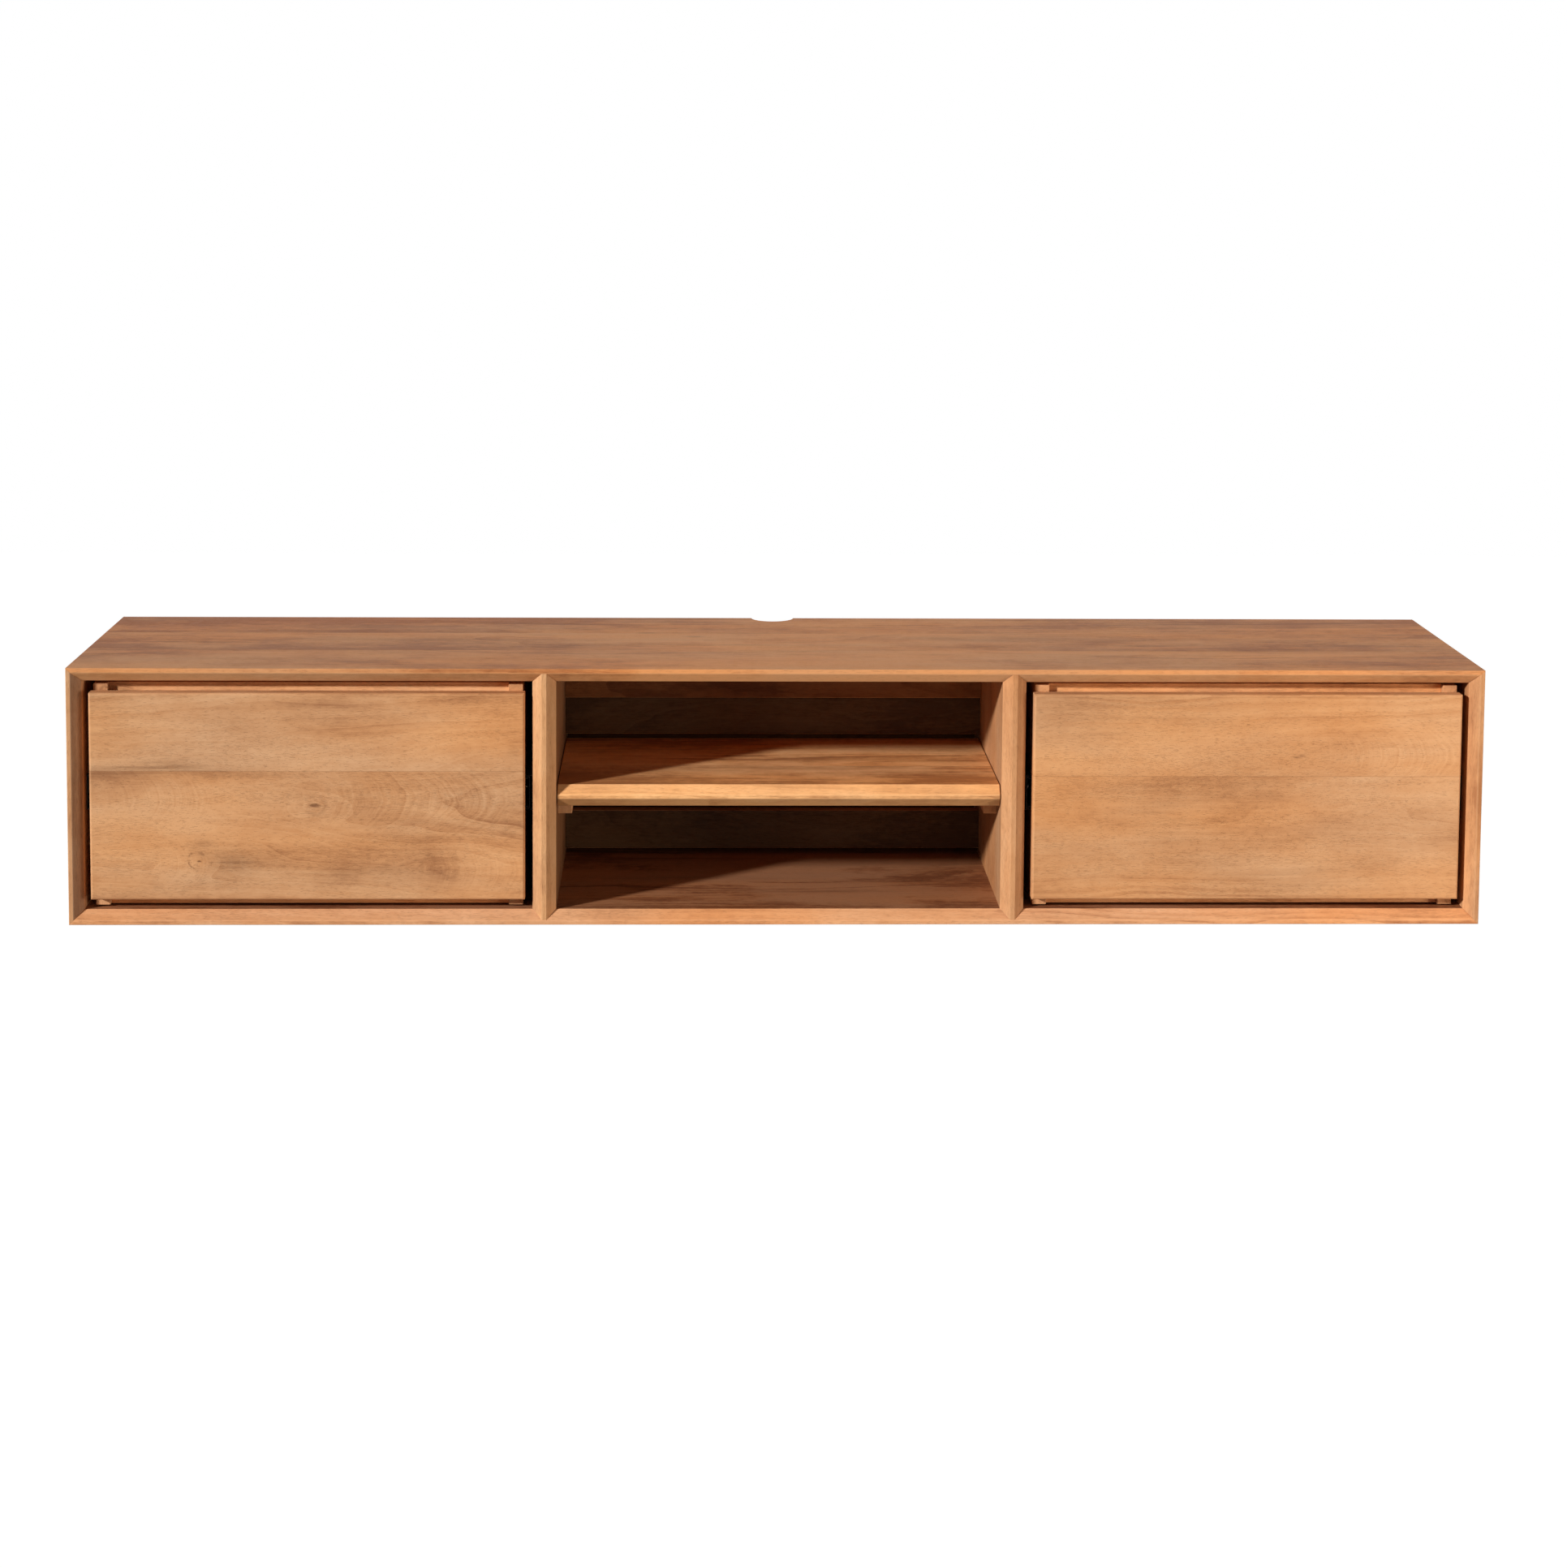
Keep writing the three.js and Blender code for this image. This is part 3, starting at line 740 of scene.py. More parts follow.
def finish_board(piece, node, cut, material):
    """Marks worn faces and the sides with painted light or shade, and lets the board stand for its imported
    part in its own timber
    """
    mesh = piece.data
    mark_faces(mesh, "wear", (face.material_index == 1 for face in mesh.polygons))
    for number, side in enumerate(cut.sides):
        way = Vector(side.way).normalized()
        mark_faces(mesh, f"side {number}", (face.normal.dot(way) > SAME_WAY for face in mesh.polygons))
    mesh.polygons.foreach_set("material_index", [0] * len(mesh.polygons))
    mesh.materials.clear()
    mesh.materials.append(material)
    stand_for(piece, node + "_wood", [node], body_of(node))


def body_of(node):
    return next(body for body, members in frame["record"]["behaviour"]["bodies"].items() if node in members)


def slot_of(node):
    return next(part["material_slot"] for part in frame["record"]["subparts"] if part["node"] == node)


def named(*parts):
    """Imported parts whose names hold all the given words"""
    return [node for node in sorted(frame["nodes"]) if all(part in node for part in parts)]


def plain_cut(node, seed, **changes):
    """A cut along the board's longest side, its face across the thinnest, with the pith behind the face"""
    low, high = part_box(node)
    size = high - low
    order = sorted("xyz", key=lambda axis: size["xyz".index(axis)])
    settings = {"grain": order[2], "face": order[0], "middle": tuple((low + high) / 2), "seed": seed}
    settings["pith"] = (0.02 * (seed % 3) - 0.02, 0.05 + 0.013 * (seed % 5))
    settings["tilt"] = 0.03 + 0.012 * (seed % 4)
    return Cut(**settings | changes)


def make_boards(context, looks, reach=0.0):
    """Eases the boards and gives each its own piece of timber"""
    wood, edges = context.scene.console_wood, context.scene.console_edges
    trees = search_trees([node for node in frame["nodes"] if slot_of(node).endswith("wood")])
    for node, look in looks.items():
        cut = plain_cut(node, **look)
        piece = baked(eased(node, edges.free_radius, edges.joint_radius, edges.segments, trees))
        reach_into_joints(piece.data, cut, reach)
        finish_board(piece, node, cut, timber(node + " timber", cut, wood))


# How the boards look. Knots, crescents and stains list along and across, then KNOT_SIZES or PATCH_SIZES.

UNSEEN = 0.001
BACK_SEED = 20  # of the first board at the back
BOX_SEED = 40  # of the first board of the drawer boxes


def patch(along, across, radius, paler):
    """A soft patch of paler wood, or darker below 0, as about a knot with its heart too small to see"""
    return (along, across, radius, UNSEEN, 0.0, -paler, UNSEEN)


CARCASS = {
    "top_panel": {
        "seed": 3,
        "seams": (-0.071, 0.062),
        "tilt": 0.02,
        "figure": 1.55,
        "tint": (0.985, 0.805, 0.65),
        # the chamfer facing down and forward is lighter and paler: painted light
        "sides": (Side((0, -1, -1), (1.03, 1.18, 1.35)),),
        "knots": (
            patch(-0.72, 0.0, 0.3, -0.17),
            patch(0.07, 0.0, 0.22, 0.22),
            patch(0.36, 0.0, 0.12, -0.08),
            patch(0.8, 0.0, 0.17, -0.08),
        ),
        "stains": (
            (-0.45, -0.02, 0.16, 0.006, 0.5),
            (-0.12, 0.02, 0.2, 0.005, 0.45),
            (0.2, -0.12, 0.18, 0.006, 0.5),
            (0.52, 0.02, 0.2, 0.006, 0.5),
            (-0.173, -0.075, 0.012, 0.005, 1.0),
            (-0.108, -0.045, 0.012, 0.005, 1.0),
            (-0.3, 0.05, 0.1, 0.03, 0.5),
            (0.35, -0.03, 0.2, 0.02, 0.6),
            (0.62, 0.06, 0.14, 0.014, 0.5),
            (-0.62, -0.1, 0.2, 0.03, 0.3),
        ),
    },
    "bottom_panel": {
        "seed": 4,
        "seams": (-0.08, 0.05),
        "figure": 1.5,
        "tint": (1.15, 1.06, 1.02),
        # the floor's upward face is darkened where it lies in shade inside the bays: painted shade; the
        # upward chamfer only loses figure
        "sides": (Side((0, 0, 1), (0.47, 0.4, 0.37), 2.3), Side((0, -1, 1), (1.0, 1.0, 1.0), 0.6)),
        # the pale patch in the floor's middle and the two broad stains at its back and right are painted
        # light and shade, laid where the bay's light and shadows fall; the three narrow stains are the
        # wood's own
        "knots": (patch(0.01, 0.03, 0.09, 0.16),),
        "stains": (
            (0.05, -0.09, 0.4, 0.1, 0.2),
            (0.27, 0.0, 0.13, 0.11, 0.6),
            (0.06, 0.1, 0.1, 0.008, 0.8),
            (0.2, 0.05, 0.12, 0.014, 0.7),
            (-0.12, 0.03, 0.14, 0.012, 0.6),
        ),
    },
    # the inner chamfer, facing right and forward, is darkened: painted shade
    "left_side_panel": {"seed": 5, "grain": "z", "sides": (Side((1, -1, 0), (0.68, 0.7, 0.8)),)},
    "right_side_panel": {"seed": 6, "grain": "z"},
    "left_divider": {
        "seed": 7,
        "grain": "z",
        "tint": (1.05, 1.1, 1.12),
        # the face towards the centre bay is darkened: painted shade
        "sides": (Side((1, 0, 0), (0.32, 0.27, 0.24)),),
    },
    "right_divider": {
        "seed": 8,
        "grain": "z",
        "tint": (0.93, 0.86, 0.79),
        # the face towards the centre bay is darkened: painted shade
        "sides": (Side((-1, 0, 0), (0.72, 0.73, 0.75)),),
    },
}
# the back boards' front faces are darkened deep in the bay: painted shade
PAINTED_BACK_SHADE = (Side((0, -1, 0), (0.185, 0.19, 0.175), 2.0),)
CENTRE_BAY = {
    "center_shelf": {
        "seed": 11,
        "seams": (0.03,),
        "figure": 1.5,
        "tint": (1.28, 1.36, 1.3),
        # the shelf's top face is darker and browner, its upper bevel lighter and its lower bevel darker:
        # painted light and shade
        "sides": (
            Side((0, 0, 1), (0.9, 0.82, 0.73), 1.25),
            Side((0, -1, 1), (1.12, 1.12, 1.12), 0.5),
            Side((0, -1, -1), (0.75, 0.75, 0.75), 0.6),
        ),
        "stains": (
            (0.2, 0.075, 0.08, 0.012, 0.8),
            (0.02, 0.04, 0.16, 0.012, 0.7),
            (-0.15, 0.06, 0.12, 0.01, 0.6),
            (0.1, -0.01, 0.14, 0.016, 0.5),
        ),
    },
    "upper_back_board": {"seed": 12, "sides": PAINTED_BACK_SHADE},
    "lower_back_board": {"seed": 13, "sides": PAINTED_BACK_SHADE},
    "center_back_panel": {"seed": 14, "sides": PAINTED_BACK_SHADE},
    # the rail's front face is darkened deep in the bay: painted shade
    "center_top_rail": {"seed": 15, "sides": (Side((0, -1, 0), (0.38, 0.33, 0.27), 1.5),)},
    "left_shelf_cleat": {"seed": 16},
    "right_shelf_cleat": {"seed": 17},
}
DRAWER_FRONTS = {
    "left_drawer_front": {
        "seed": 31,
        "seams": (0.033,),
        "tilt": 0.06,
        "tint": (0.985, 0.955, 0.92),
        "knots": (
            (0.009, -0.011, 0.012, 0.27, 0.24, 0.26, 0.024),
            (-0.137, -0.083, 0.0105, 0.12, 0.7, 0.12, 0.03),
            (-0.165, -0.092, 0.03, 0.01, 0.12, -0.22, 0.01),
            (0.168, -0.091, 0.019, 0.03, 0.12, 0.45, 0.02),
            patch(0.23, -0.1, 0.04, 0.16),
        ),
        "crescents": (
            (0.14, -0.004, 0.12, 0.036, 1.25),
            (-0.18, -0.004, 0.06, 0.03, 0.9),
            (-0.16, -0.085, 0.04, 0.024, 0.7),
            (0.22, -0.095, 0.06, 0.03, 0.6),
        ),
        "stains": (
            (-0.2, 0.038, 0.1, 0.009, 1.0),
            (-0.092, -0.083, 0.036, 0.014, 0.95),
            (-0.13, -0.066, 0.014, 0.009, 0.6),
            (0.15, -0.02, 0.14, 0.045, 0.3),
            (-0.26, 0.1, 0.06, 0.05, 0.3),
            (0.155, -0.045, 0.012, 0.01, 0.55),
            (0.26, 0.055, 0.01, 0.008, 0.5),
            (0.06, -0.095, 0.09, 0.01, 0.4),
        ),
    },
    "right_drawer_front": {
        "seed": 32,
        "seams": (0.027,),
        "tilt": 0.04,
        "figure": 0.85,
        "tint": (0.92, 0.89, 0.85),
        "knots": (patch(0.25, 0.09, 0.06, 0.14), patch(0.22, -0.05, 0.07, 0.18)),
        "crescents": ((0.2, 0.055, 0.08, 0.03, 1.0),),
        "stains": (
            (0.063, 0.0515, 0.005, 0.0022, 0.9),
            (0.069, 0.054, 0.0055, 0.0022, 0.9),
            (-0.07, -0.03, 0.11, 0.07, 0.35),
            (0.05, -0.11, 0.12, 0.04, 0.4),
            (-0.14, 0.11, 0.14, 0.04, 0.3),
        ),
    },
}
# lifts the drawers' inner fronts, which lie in shade behind the fronts, so that they look lit: painted light
INNER_FRONT_PAINTED_LIGHT = (1.38, 1.32, 1.2)
LEFT_INNER_FRONT = {
    "knots": ((-0.235, 0.13, 0.006, 0.5, 0.3, 0.3, 0.012),),
    "stains": ((-0.248, 0.137, 0.012, 0.01, 1.0), (-0.232, 0.13, 0.006, 0.01, 1.0)),
}


# Screws and punched holes

SCREW_SIZES = ("Head radius", "Head height", "Shank radius", "Shank length")
SCREW_SEED = 11
CREASE = math.radians(38)
END_DEPTH = 0.1 * MILLIMETRE  # points this near to a screw's end belong to it
DOME_REACH = 0.8  # of the way from the dome's foot to where it would close
POINT_LENGTH = 3.0  # in radii of the shank
POINT_START = 0.15  # width of the very tip, as a share of the shank's
SHANK_IN_HEAD = 0.3  # of the head's height
RECESS_LENGTH, RECESS_WIDTH = 1.15, 0.24  # in radii of the head
SLOT_STRETCH = 1.2  # by which a slot is longer than a hole, in diameters


def geometry_group(name, sockets):
    return new_group(name, "GeometryNodeTree", {"Geometry": "Geometry", **sockets}, {"Geometry": "Geometry"})


def finished(tree, result, geometry, material):
    """Ends a tree with realized instances, smooth faces between creases, and the material"""
    real = made(tree, "GeometryNodeRealizeInstances", {"Geometry": geometry})
    inputs = {"Geometry": real, "Shade Smooth": True}
    smooth = made(tree, "GeometryNodeSetShadeSmooth", inputs, {"domain": "FACE"})
    bend = made(tree, "GeometryNodeInputMeshEdgeAngle")
    sharp = calc(tree, "GREATER_THAN", bend, CREASE)
    inputs = {"Geometry": smooth, "Selection": sharp, "Shade Smooth": False}
    creased = made(tree, "GeometryNodeSetShadeSmooth", inputs, {"domain": "EDGE"})
    painted = made(tree, "GeometryNodeSetMaterial", {"Geometry": creased, "Material": material})
    tree.links.new(painted, result["Geometry"])


def lathe(tree, sides, stations):
    """A unit cylinder, with the share of the way up it and its place, to be drawn out into a turned shape"""
    inputs = {"Vertices": sides, "Side Segments": stations, "Radius": 1.0, "Depth": 1.0}
    stock = made(tree, "GeometryNodeMeshCylinder", inputs)
    place = made(tree, "GeometryNodeInputPosition")
    x, y, z = add(tree, "ShaderNodeSeparateXYZ", None, {0: place}).outputs
    return stock, (x, y), plus(tree, z, 0.5)


def turned(tree, stock, sides, radius, level):
    place = vector(tree, *(times(tree, side, radius) for side in sides), level)
    return made(tree, "GeometryNodeSetPosition", {"Geometry": stock, "Position": place})


def joined(tree, operation, shapes, stock=None):
    """Joins shapes into one closed body, or cuts them out of the stock"""
    node = add(tree, "GeometryNodeMeshBoolean", {"operation": operation, "solver": "EXACT"})
    if stock is not None:
        tree.links.new(stock, node.inputs["Mesh 1"])
    for shape in shapes:
        tree.links.new(shape, node.inputs["Mesh 2"])
    return node.outputs["Mesh"]


def screw_tree():
    """Pan head screws with a cross recess, one on each point, standing out along the point's axis"""
    sockets = {**dict.fromkeys(SCREW_SIZES, "Float"), "Material": "Material"}
    tree, given, result = geometry_group("Pan head screws", sockets)
    head_radius, head_height, shank_radius, shank_length = (given[label] for label in SCREW_SIZES)

    stock, sides, share = lathe(tree, sides=24, stations=6)
    dome = calc(tree, "SQRT", minus(tree, 1.0, calc(tree, "POWER", times(tree, share, DOME_REACH), 4.0)))
    head = turned(tree, stock, sides, times(tree, dome, head_radius), times(tree, share, head_height))

    stock, sides, share = lathe(tree, sides=16, stations=10)
    from_tip = times(tree, share, shank_length)
    point = over(tree, from_tip, times(tree, shank_radius, POINT_LENGTH))
    narrowed = times(tree, calc(tree, "MINIMUM", plus(tree, point, POINT_START), 1.0), shank_radius)
    into_head = times(tree, head_height, SHANK_IN_HEAD, share)
    level = plus(tree, minus(tree, from_tip, shank_length), into_head)
    shank = turned(tree, stock, sides, narrowed, level)

    arms = []
    long_side, short_side = (times(tree, head_radius, size) for size in (RECESS_LENGTH, RECESS_WIDTH))
    lift = vector(tree, 0.0, 0.0, head_height)
    for size in ((long_side, short_side), (short_side, long_side)):
        inputs = {"Size": vector(tree, *size, head_height)}
        cube = made(tree, "GeometryNodeMeshCube", inputs)
        arms.append(made(tree, "GeometryNodeTransform", {"Geometry": cube, "Translation": lift}))
    screw = joined(tree, "DIFFERENCE", arms, joined(tree, "UNION", (head, shank)))

    axis = made(tree, "GeometryNodeInputNamedAttribute", {"Name": "axis"}, {"data_type": "FLOAT_VECTOR"})
    upright = made(tree, "FunctionNodeAlignRotationToVector", {"Vector": axis}, {"axis": "Z"})
    inputs = {3: math.pi / 2, "Seed": SCREW_SEED}
    twist = add(tree, "FunctionNodeRandomValue", {"data_type": "FLOAT"}, inputs).outputs[1]
    spin = made(tree, "FunctionNodeEulerToRotation", {"Euler": vector(tree, 0.0, 0.0, twist)})
    inputs = {"Rotation": upright, "Rotate By": spin}
    driven = made(tree, "FunctionNodeRotateRotation", inputs, {"rotation_space": "LOCAL"})
    inputs = {"Points": given["Geometry"], "Instance": screw, "Rotation": driven}
    finished(tree, result, made(tree, "GeometryNodeInstanceOnPoints", inputs), given["Material"])
    return tree


def punch_tree():
    """Round holes and slots by turns through the web of a slide member"""
    sockets = {"Hole radius": "Float", "Pitch": "Float", "Depth": "Float", "Count": "Int"}
    sockets |= {"First hole": "Vector", "Material": "Material"}
    tree, given, result = geometry_group("Punched holes", sockets)
    inputs = {"Vertices": 16, "Radius": given["Hole radius"], "Depth": given["Depth"]}
    punch = made(tree, "GeometryNodeMeshCylinder", inputs)
    punch = made(tree, "GeometryNodeTransform", {"Geometry": punch, "Rotation": (0, math.pi / 2, 0)})
    step = vector(tree, 0.0, given["Pitch"])
    inputs = {"Count": given["Count"], "Start Location": given["First hole"], "Offset": step}
    row = made(tree, "GeometryNodeMeshLine", inputs, {"mode": "OFFSET"})
    odd = calc(tree, "MODULO", made(tree, "GeometryNodeInputIndex"), 2.0)
    slotted = vector(tree, 1.0, times_plus(tree, odd, SLOT_STRETCH, 1.0), 1.0)
    inputs = {"Points": row, "Instance": punch, "Scale": slotted}
    punches = made(tree, "GeometryNodeInstanceOnPoints", inputs)
    cutters = made(tree, "GeometryNodeRealizeInstances", {"Geometry": punches})
    rim = calc(tree, "GREATER_THAN", made(tree, "GeometryNodeInputMaterialIndex"), 0.5)
    inputs = {"Geometry": given["Geometry"], "Name": "wear", "Value": rim}
    rimmed = made(tree, "GeometryNodeStoreNamedAttribute", inputs, {"data_type": "FLOAT", "domain": "FACE"})
    finished(tree, result, joined(tree, "DIFFERENCE", (cutters,), rimmed), given["Material"])
    return tree


def give_nodes(piece, tree, values):
    """Adds a tree to a piece and sets its inputs by their identifiers"""
    modifier = piece.modifiers.new(tree.name, "NODES")
    modifier.node_group = tree
    for item in tree.interface.items_tree:
        if item.item_type == "SOCKET" and item.in_out == "INPUT" and item.name in values:
            modifier[item.identifier] = values[item.name]


def make_screws(name, body, nodes, seats, sizes, material):
    """Screws at each seat: a place where the head bears, and the way that the head points"""
    mesh = bpy.data.meshes.new(name)
    mesh.from_pydata([place for place, axis in seats], [], [])
    ways = mesh.attributes.new("axis", "FLOAT_VECTOR", "POINT")
    ways.data.foreach_set("vector", [value for place, axis in seats for value in axis])
    piece = new_piece(name + "_points", mesh)
    values = {**dict(zip(SCREW_SIZES, sizes)), "Material": material}
    give_nodes(piece, shared("Pan head screws", screw_tree), values)
    stand_for(baked(piece), name, nodes, body)


def board_screw_seat(node, head_height):
    """Seat, axis and shank length of a packed screw, whose head is at its wide end"""
    low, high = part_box(node)
    size = high - low
    index = max(range(3), key=lambda axis: size[axis])
    middle = (low + high) / 2
    ends = {1: high[index], -1: low[index]}
    spots = [vertex.co for vertex in frame["nodes"][node].data.vertices]

    def spread_at(way):
        near = [spot for spot in spots if abs(spot[index] - ends[way]) < END_DEPTH]
        return max((Vector(spot) - middle).cross(AXES["xyz"[index]]).length for spot in near)

    way = max(ends, key=spread_at)
    seat = middle.copy()
    seat[index] = ends[way] - way * head_height
    return seat, AXES["xyz"[index]] * way, size[index] - head_height


# Operators


class CONSOLE_OT_carcass(bpy.types.Operator):
    """Makes the mitred carcass boards and the two dividers"""

    bl_idname = "console.carcass"
    bl_label = "Carcass"

    def execute(self, context):
        make_boards(context, CARCASS, context.scene.console_edges.joint_closing)
        return {"FINISHED"}


class CONSOLE_OT_centre_bay(bpy.types.Operator):
    """Makes the shelf, its cleats and the boards at the back of the centre bay"""

    bl_idname = "console.centre_bay"
    bl_label = "Centre bay"

    def execute(self, context):
        make_boards(context, CENTRE_BAY)
        return {"FINISHED"}


class CONSOLE_OT_back(bpy.types.Operator):
    """Makes the side bays' back panels, the hanging rails and the wall cleats"""

    bl_idname = "console.back"
    bl_label = "Back and wall fixing"

    def execute(self, context):
        kinds = ("left_back_panel", "right_back_panel", "hanging_rail", "wall_cleat")
        nodes = [node for kind in kinds for node in named(kind)]
        make_boards(context, {node: {"seed": seed} for seed, node in enumerate(nodes, BACK_SEED)})
        return {"FINISHED"}


class CONSOLE_OT_drawers(bpy.types.Operator):
    """Makes the drawer fronts and the boards of the drawer boxes"""

    bl_idname = "console.drawers"
    bl_label = "Drawers"

    def execute(self, context):
        looks = dict(DRAWER_FRONTS)
        for seed, node in enumerate(named("_drawer_"), BOX_SEED):
            if slot_of(node) == "inner_wood":
                looks[node] = {"seed": seed}
                if node.endswith("inner_front"):
                    looks[node]["tint"] = INNER_FRONT_PAINTED_LIGHT
        looks["left_drawer_inner_front"] |= LEFT_INNER_FRONT
        low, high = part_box("left_drawer_left_side")
        corner = ((low.y - high.y) / 2, (low.z - high.z) / 2 + 0.004, 0.03, 0.018, 1.0)
        looks["left_drawer_left_side"]["stains"] = (corner,)
        make_boards(context, looks)
        return {"FINISHED"}


class CONSOLE_OT_slides(bpy.types.Operator):
    """Makes the punched slide members"""

    bl_idname = "console.slides"
    bl_label = "Slides"

    def execute(self, context):
        hardware, edges = context.scene.console_hardware, context.scene.console_edges
        steel = coated_steel(hardware)
        for node in named("_slide_"):
            piece = eased(node, edges.sheet_radius, edges.sheet_radius, 2, {})
            low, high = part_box(node)
            middle = (low + high) / 2
            values = {
                "Hole radius": hardware.hole_radius,
                "Pitch": hardware.hole_pitch,
                "First hole": (middle.x, low.y + hardware.first_hole, middle.z),
                "Count": hole_count(high.y - low.y, hardware),
                "Depth": 2 * (high.x - low.x),
                "Material": steel,
            }
            give_nodes(piece, shared("Punched holes", punch_tree), values)
            stand_for(baked(piece), node + "_sheet", [node], body_of(node))
        return {"FINISHED"}


class CONSOLE_OT_screws(bpy.types.Operator):
    """Makes the screws of the drawer fronts, the shelf cleats and the slides"""

    bl_idname = "console.screws"
    bl_label = "Screws"

    def execute(self, context):
        hardware = context.scene.console_hardware
        steel = passivated_steel(hardware)
        for side in ("left", "right"):
            for kind in ("shelf_cleat", "drawer_front"):
                nodes = named(f"{side}_{kind}_screw")
                found = [board_screw_seat(node, hardware.head_height) for node in nodes]
                sizes = (hardware.head_radius, hardware.head_height, hardware.shank_radius, found[0][2])
                seats = [(seat, axis) for seat, axis, shank in found]
                make_screws(f"{side}_{kind}_screws", body_of(nodes[0]), nodes, seats, sizes, steel)
            for member in ("outer", "inner"):
                nodes = named(f"{side}_bay", f"slide_{member}")
                seats = [seat for node in nodes for seat in slide_screw_seats(node, member, hardware)]
                sizes = (hardware.slide_head_radius, hardware.slide_head_height, hardware.shank_radius)
                name = f"{side}_bay_slide_{member}_screws"
                make_screws(name, body_of(nodes[0]), [], seats, (*sizes, hardware.slide_screw_length), steel)
        return {"FINISHED"}


def hole_count(run, hardware):
    """How many punched holes fit into a slide member of that length"""
    return 1 + math.floor((run - 2 * hardware.first_hole) / hardware.hole_pitch)


def slide_screw_seats(node, member, hardware):
    """Seats on the web of an outer or inner slide member, midway between punched holes"""
    low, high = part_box(node)
    outward = 1 if ("left_slide" in node) == (member == "outer") else -1
    web = (low.x if outward > 0 else high.x) + outward * hardware.sheet_thickness
    level = (low.z + high.z) / 2
    holes = hole_count(high.y - low.y, hardware)
    between = (0.5, holes // 2 - 0.5, holes - 1.5)
    places = [low.y + hardware.first_hole + share * hardware.hole_pitch for share in between]
    return [(Vector((web, place, level)), AXES["x"] * outward) for place in places]


class CONSOLE_OT_stage(bpy.types.Operator):
    """Makes the floor, the lamps and the camera"""

    bl_idname = "console.stage"
    bl_label = "Stage"

    def execute(self, context):
        stage = context.scene.console_stage
        low, high = PACKED_BOX
        make_floor(low.z - stage.floor_drop)
        make_world(context.scene, stage.fill_tone)
        make_key(stage)
        make_side_lamp(stage)
        make_camera(context.scene, stage, Vector((0.0, low.y, low.z)))
        context.scene.view_settings.view_transform = "Standard"
        return {"FINISHED"}


SENSOR_WIDTH = 36.0
FLOOR_HALF = 12.0
FLOOR_GREY = (0.3, 0.3, 0.3, 1.0)
FLOOR_GLOW = 0.88
WHITE = (1.0, 1.0, 1.0, 1.0)


def seen_directly(tree):
    """1 for rays from the camera and for those that polished metal sends on"""
    path = add(tree, "ShaderNodeLightPath").outputs
    seen = plus(tree, path["Is Camera Ray"], path["Is Glossy Ray"])
    return calc(tree, "MINIMUM", plus(tree, seen, path["Is Transmission Ray"]), 1.0)


def make_floor(level):
    """A wide matt floor that shows white to the camera and still keeps the console's shadow"""
    mesh = bpy.data.meshes.new("floor")
    ends = ((-1, -1), (1, -1), (1, 1), (-1, 1))
    mesh.from_pydata([(FLOOR_HALF * x, FLOOR_HALF * y, level) for x, y in ends], [], [(0, 1, 2, 3)])
    floor = new_piece("floor", mesh)
    material, tree = new_material("Pale floor")
    matt = made(tree, "ShaderNodeBsdfDiffuse", {"Color": FLOOR_GREY})
    glow = {"Color": WHITE, "Strength": times(tree, seen_directly(tree), FLOOR_GLOW)}
    glow = made(tree, "ShaderNodeEmission", glow)
    both = made(tree, "ShaderNodeAddShader", {0: matt, 1: glow})
    add(tree, "ShaderNodeOutputMaterial", None, {"Surface": both})
    mesh.materials.append(material)


def make_world(scene, fill):
    """Soft light from all round, with a white background"""
    world = bpy.data.worlds.new("Studio")
    world.use_nodes = True
    tree = world.node_tree
    tree.nodes.clear()
    soft = made(tree, "ShaderNodeBackground", {"Color": colour(fill), "Strength": 1.0})
    white = made(tree, "ShaderNodeBackground", {"Color": WHITE, "Strength": 1.0})
    mixed = made(tree, "ShaderNodeMixShader", {0: seen_directly(tree), 1: soft, 2: white})
    add(tree, "ShaderNodeOutputWorld", None, {"Surface": mixed})
    scene.world = world


def make_lamp(name, kind, level, power, place, aim):
    """A lamp that shines against its aim; its power belongs to a level of 1"""
    lamp = bpy.data.lights.new(name, kind)
    brightest = max(level)
    lamp.color = [share / brightest for share in level]
    lamp.energy = brightest * power
    holder = new_piece(name, lamp)
    holder.location = place
    holder.rotation_euler = Vector(aim).to_track_quat("Z", "Y").to_euler()
    return holder


def make_key(stage):
    """A far lamp; a level of 1 returns a colour as it is written"""
    holder = make_lamp("Key", "SUN", stage.key_tone, math.pi, (0, 0, 0), stage.key_direction)
    holder.data.angle = stage.key_softness


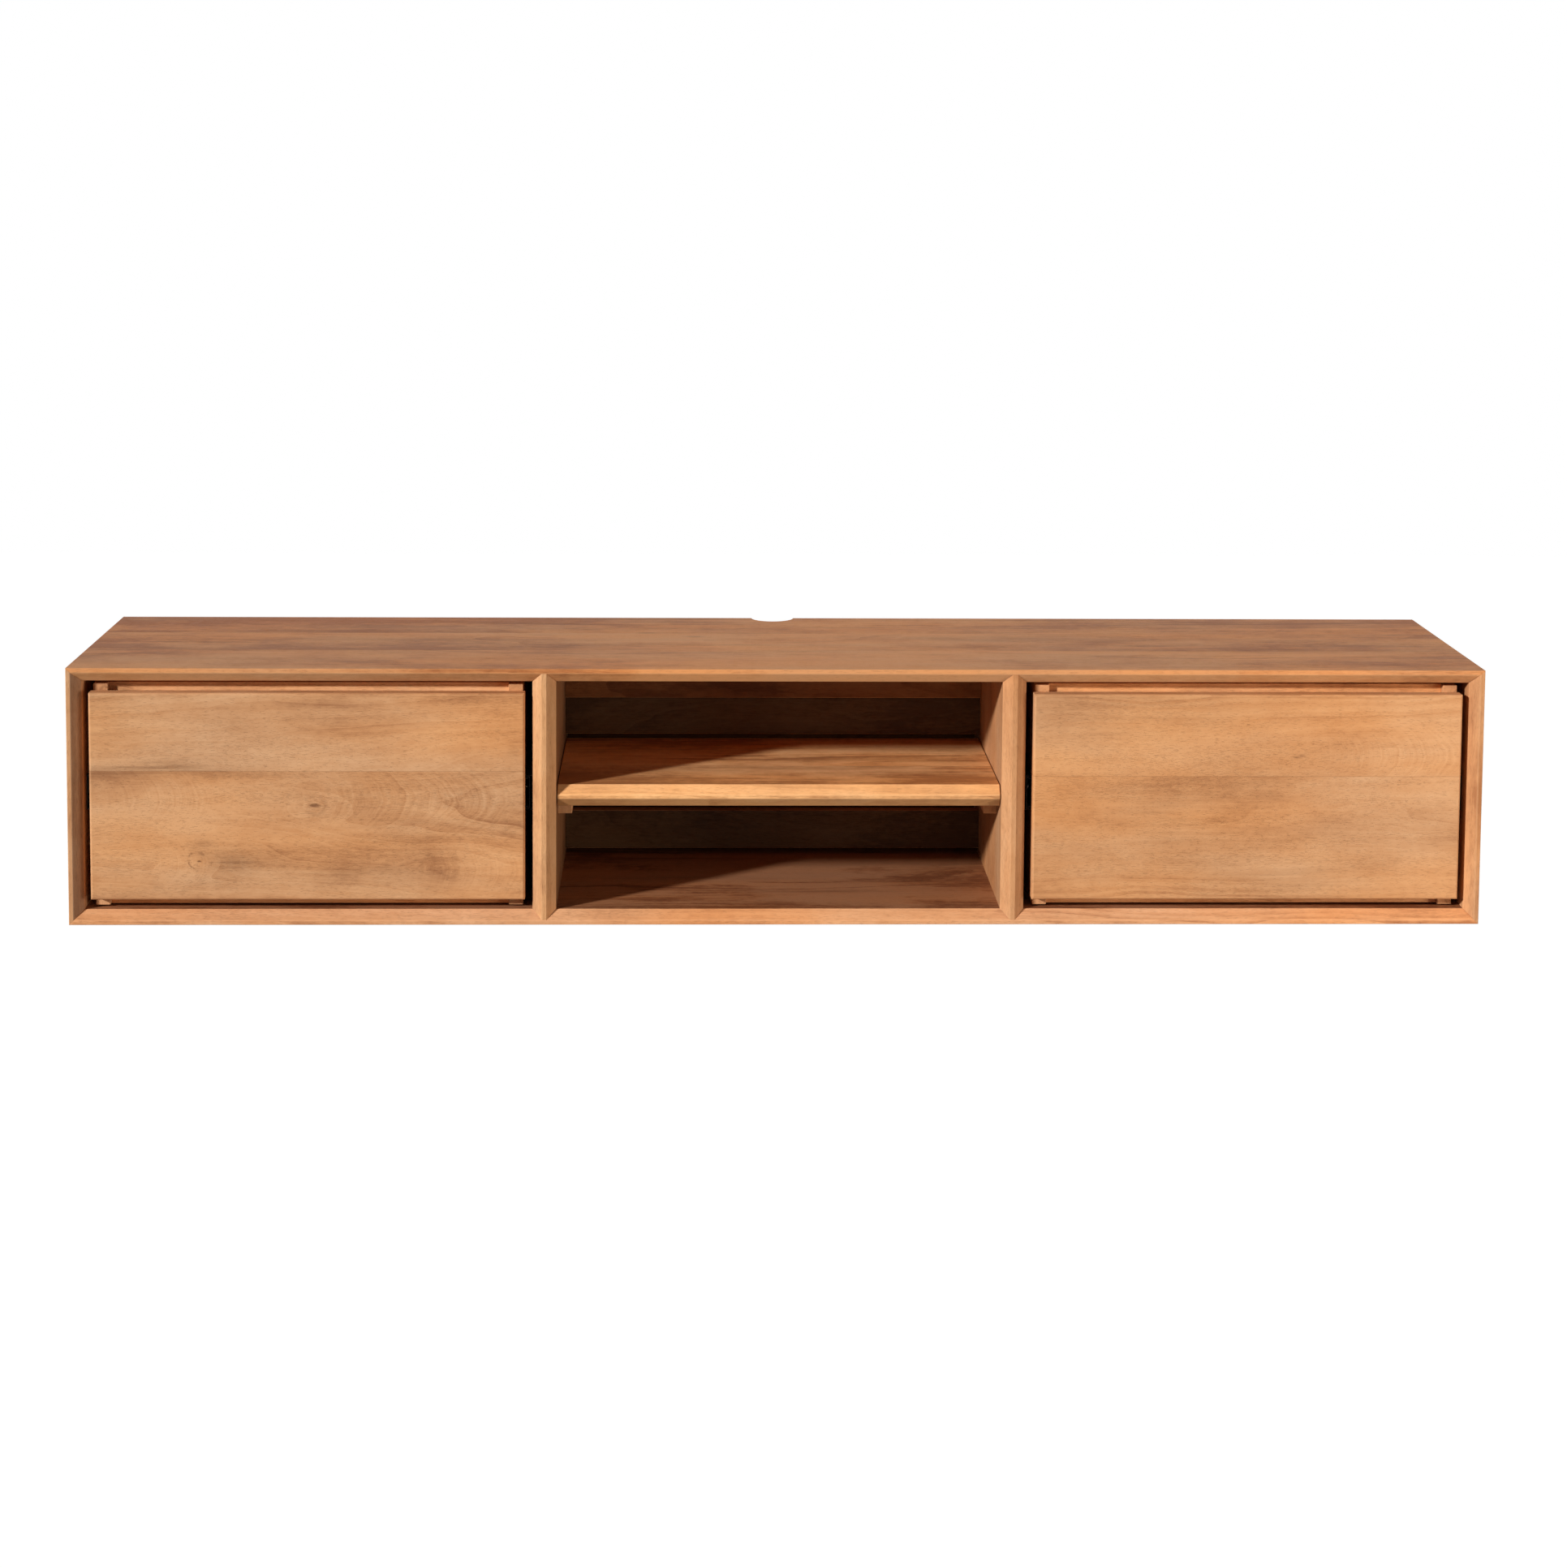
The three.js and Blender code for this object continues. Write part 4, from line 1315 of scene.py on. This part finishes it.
def make_side_lamp(stage):
    """A near square lamp; a level of 1 returns a colour as it is written at the console's middle"""
    place = Vector(stage.side_place)
    holder = make_lamp("Side lamp", "AREA", stage.side_tone, math.pi**2 * place.length_squared, place, place)
    holder.data.size = stage.side_size
    holder.visible_camera = False


def make_camera(scene, stage, corner):
    lens = bpy.data.cameras.new("Camera")
    lens.sensor_width = SENSOR_WIDTH
    lens.lens = stage.focal_length
    lens.shift_y = stage.lens_shift
    camera = new_piece("Camera", lens)
    place = Matrix.Translation(corner + Vector(stage.camera_place))
    pan = Matrix.Rotation(stage.camera_pan, 4, "Z")
    tilt = Matrix.Rotation(math.pi / 2 + stage.camera_tilt, 4, "X")
    roll = Matrix.Rotation(stage.camera_roll, 4, "Z")
    camera.matrix_world = place @ pan @ tilt @ roll
    scene.camera = camera


class CONSOLE_PT_panel(bpy.types.Panel):
    """Lists the steps that dress the console"""

    bl_idname = "CONSOLE_PT_panel"
    bl_label = "Media console"
    bl_space_type = "VIEW_3D"
    bl_region_type = "UI"
    bl_category = "Console"

    def draw(self, context):
        for step in STEPS:
            self.layout.operator(step.bl_idname)


SETTINGS = {
    "console_wood": WoodSettings,
    "console_edges": EdgeSettings,
    "console_hardware": HardwareSettings,
    "console_stage": StageSettings,
}
STEPS = (
    CONSOLE_OT_carcass,
    CONSOLE_OT_centre_bay,
    CONSOLE_OT_back,
    CONSOLE_OT_drawers,
    CONSOLE_OT_slides,
    CONSOLE_OT_screws,
    CONSOLE_OT_stage,
)
CLASSES = (*SETTINGS.values(), *STEPS, CONSOLE_PT_panel)


def register():
    for kind in CLASSES:
        bpy.utils.register_class(kind)
    for name, kind in SETTINGS.items():
        setattr(bpy.types.Scene, name, PointerProperty(type=kind))


def unregister():
    for name in SETTINGS:
        delattr(bpy.types.Scene, name)
    for kind in reversed(CLASSES):
        bpy.utils.unregister_class(kind)


def main():
    register()
    for step in STEPS:
        family, verb = step.bl_idname.split(".")
        getattr(getattr(bpy.ops, family), verb)()


if __name__ == "__main__":
    main()
